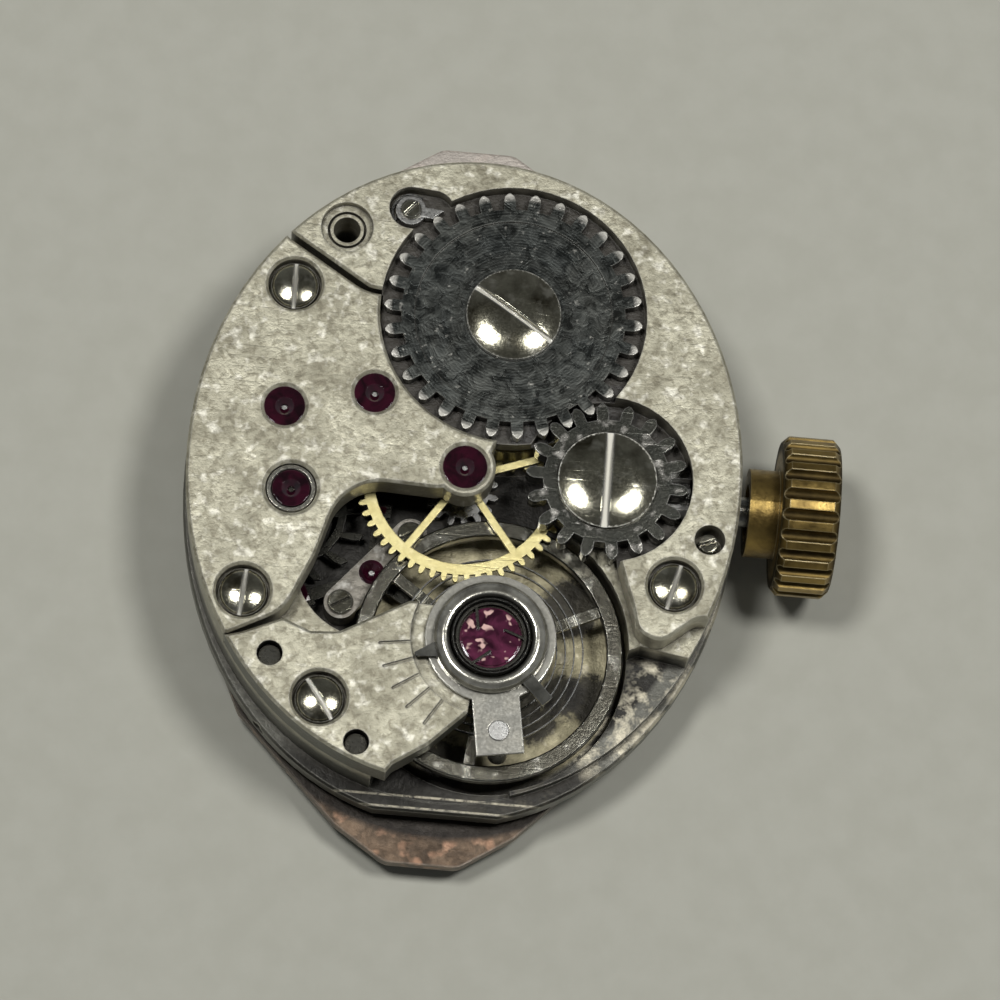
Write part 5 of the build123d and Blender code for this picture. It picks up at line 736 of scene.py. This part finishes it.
def placeCamera(spec):
    tilt, lean, roll = (math.radians(spec[key]) for key in ("tilt", "lean", "roll"))
    back = Vector((math.sin(lean) * math.sin(tilt), -math.cos(lean) * math.sin(tilt), math.cos(tilt)))
    level = Vector((0, 1, 0)) - back * back.y
    level.normalize()
    side = level.cross(back)
    up = level * math.cos(roll) - side * math.sin(roll)
    right = side * math.cos(roll) + level * math.sin(roll)
    middle = spec["frame"] / 2
    spot = Vector(spec["target"]) + back * spec["reach"]
    spot += right * ((middle - spec["targetPixel"][0]) / spec["pixelsPerMm"])
    spot -= up * ((middle - spec["targetPixel"][1]) / spec["pixelsPerMm"])
    data = bpy.data.cameras.new("photoCamera")
    data.sensor_width = spec["sensor"]
    data.lens = spec["sensor"] * spec["pixelsPerMm"] * spec["reach"] / spec["frame"]
    data.clip_start, data.clip_end = spec["near"], spec["far"]
    camera = bpy.data.objects.new("photoCamera", data)
    camera.matrix_world = Matrix.Translation(spot * mm) @ Matrix((right, up, back)).transposed().to_4x4()
    bpy.context.scene.collection.objects.link(camera)
    bpy.context.scene.camera = camera


placeCamera(cameraSpec)

# Two soft lamps, almost overhead
lampSpecs = [
    {"name": "leftLamp", "spot": (-33, 7, 125), "size": 27, "power": 0.0605},
    {"name": "rightLamp", "spot": (41, 7, 123), "size": 27, "power": 0.0605},
]
for spec in lampSpecs:
    data = bpy.data.lights.new(spec["name"], "AREA")
    data.shape = "DISK"
    data.size = spec["size"] * mm
    data.energy = spec["power"]
    lamp = bpy.data.objects.new(spec["name"], data)
    spot = Vector(spec["spot"]) * mm
    lamp.matrix_world = Matrix.Translation(spot) @ spot.to_track_quat("Z", "Y").to_matrix().to_4x4()
    bpy.context.scene.collection.objects.link(lamp)

# A pale room, darker straight above where the viewer leans over the piece
roomSpec = {"level": rgb(0.94, 0.97, 1.0), "overhead": rgb(0.22, 0.23, 0.22), "from": 0.30, "to": 0.90,
            "strength": 0.15}
world = bpy.data.worlds.new("studio")
world.use_nodes = True
room = world.node_tree
background = room.nodes["Background"]
sky = room.nodes.new("ShaderNodeTexCoord")
upward = room.nodes.new("ShaderNodeSeparateXYZ")
fade = room.nodes.new("ShaderNodeMapRange")
shade = room.nodes.new("ShaderNodeMix")
shade.data_type = "RGBA"
fade.inputs[1].default_value, fade.inputs[2].default_value = roomSpec["from"], roomSpec["to"]
shade.inputs[6].default_value, shade.inputs[7].default_value = roomSpec["level"], roomSpec["overhead"]
room.links.new(sky.outputs["Generated"], upward.inputs[0])
room.links.new(upward.outputs["Z"], fade.inputs[0])
room.links.new(fade.outputs[0], shade.inputs[0])
room.links.new(shade.outputs[2], background.inputs["Color"])
background.inputs["Strength"].default_value = roomSpec["strength"]
bpy.context.scene.world = world

floorSpec = {"half": 400.0, "gap": 0.02, "fleckSize": 0.8, "roughness": 0.9,
             "base": rgb(0.535, 0.53, 0.455), "fleck": rgb(0.51, 0.505, 0.43)}
floorFinish = Finish("paperFloor", roughness=floorSpec["roughness"])
fleck = floorFinish.span(floorFinish.noise(floorSpec["fleckSize"], 3.0), 0.35, 0.65)
floorFinish.feed("Base Color", floorFinish.mix(fleck, floorSpec["base"], floorSpec["fleck"]))
half = floorSpec["half"] * mm
floorHeight = cadBox[0][2] - floorSpec["gap"] * mm
floorMesh = bpy.data.meshes.new("floor")
floorMesh.from_pydata([(-half, -half, floorHeight), (half, -half, floorHeight), (half, half, floorHeight),
                       (-half, half, floorHeight)], [], [(0, 1, 2, 3)])
floorMesh.materials.append(floorFinish.material)
floor = bpy.data.objects.new("floor", floorMesh)
bpy.context.scene.collection.objects.link(floor)
bpy.context.scene.view_settings.view_transform = "Standard"
print("stage set")
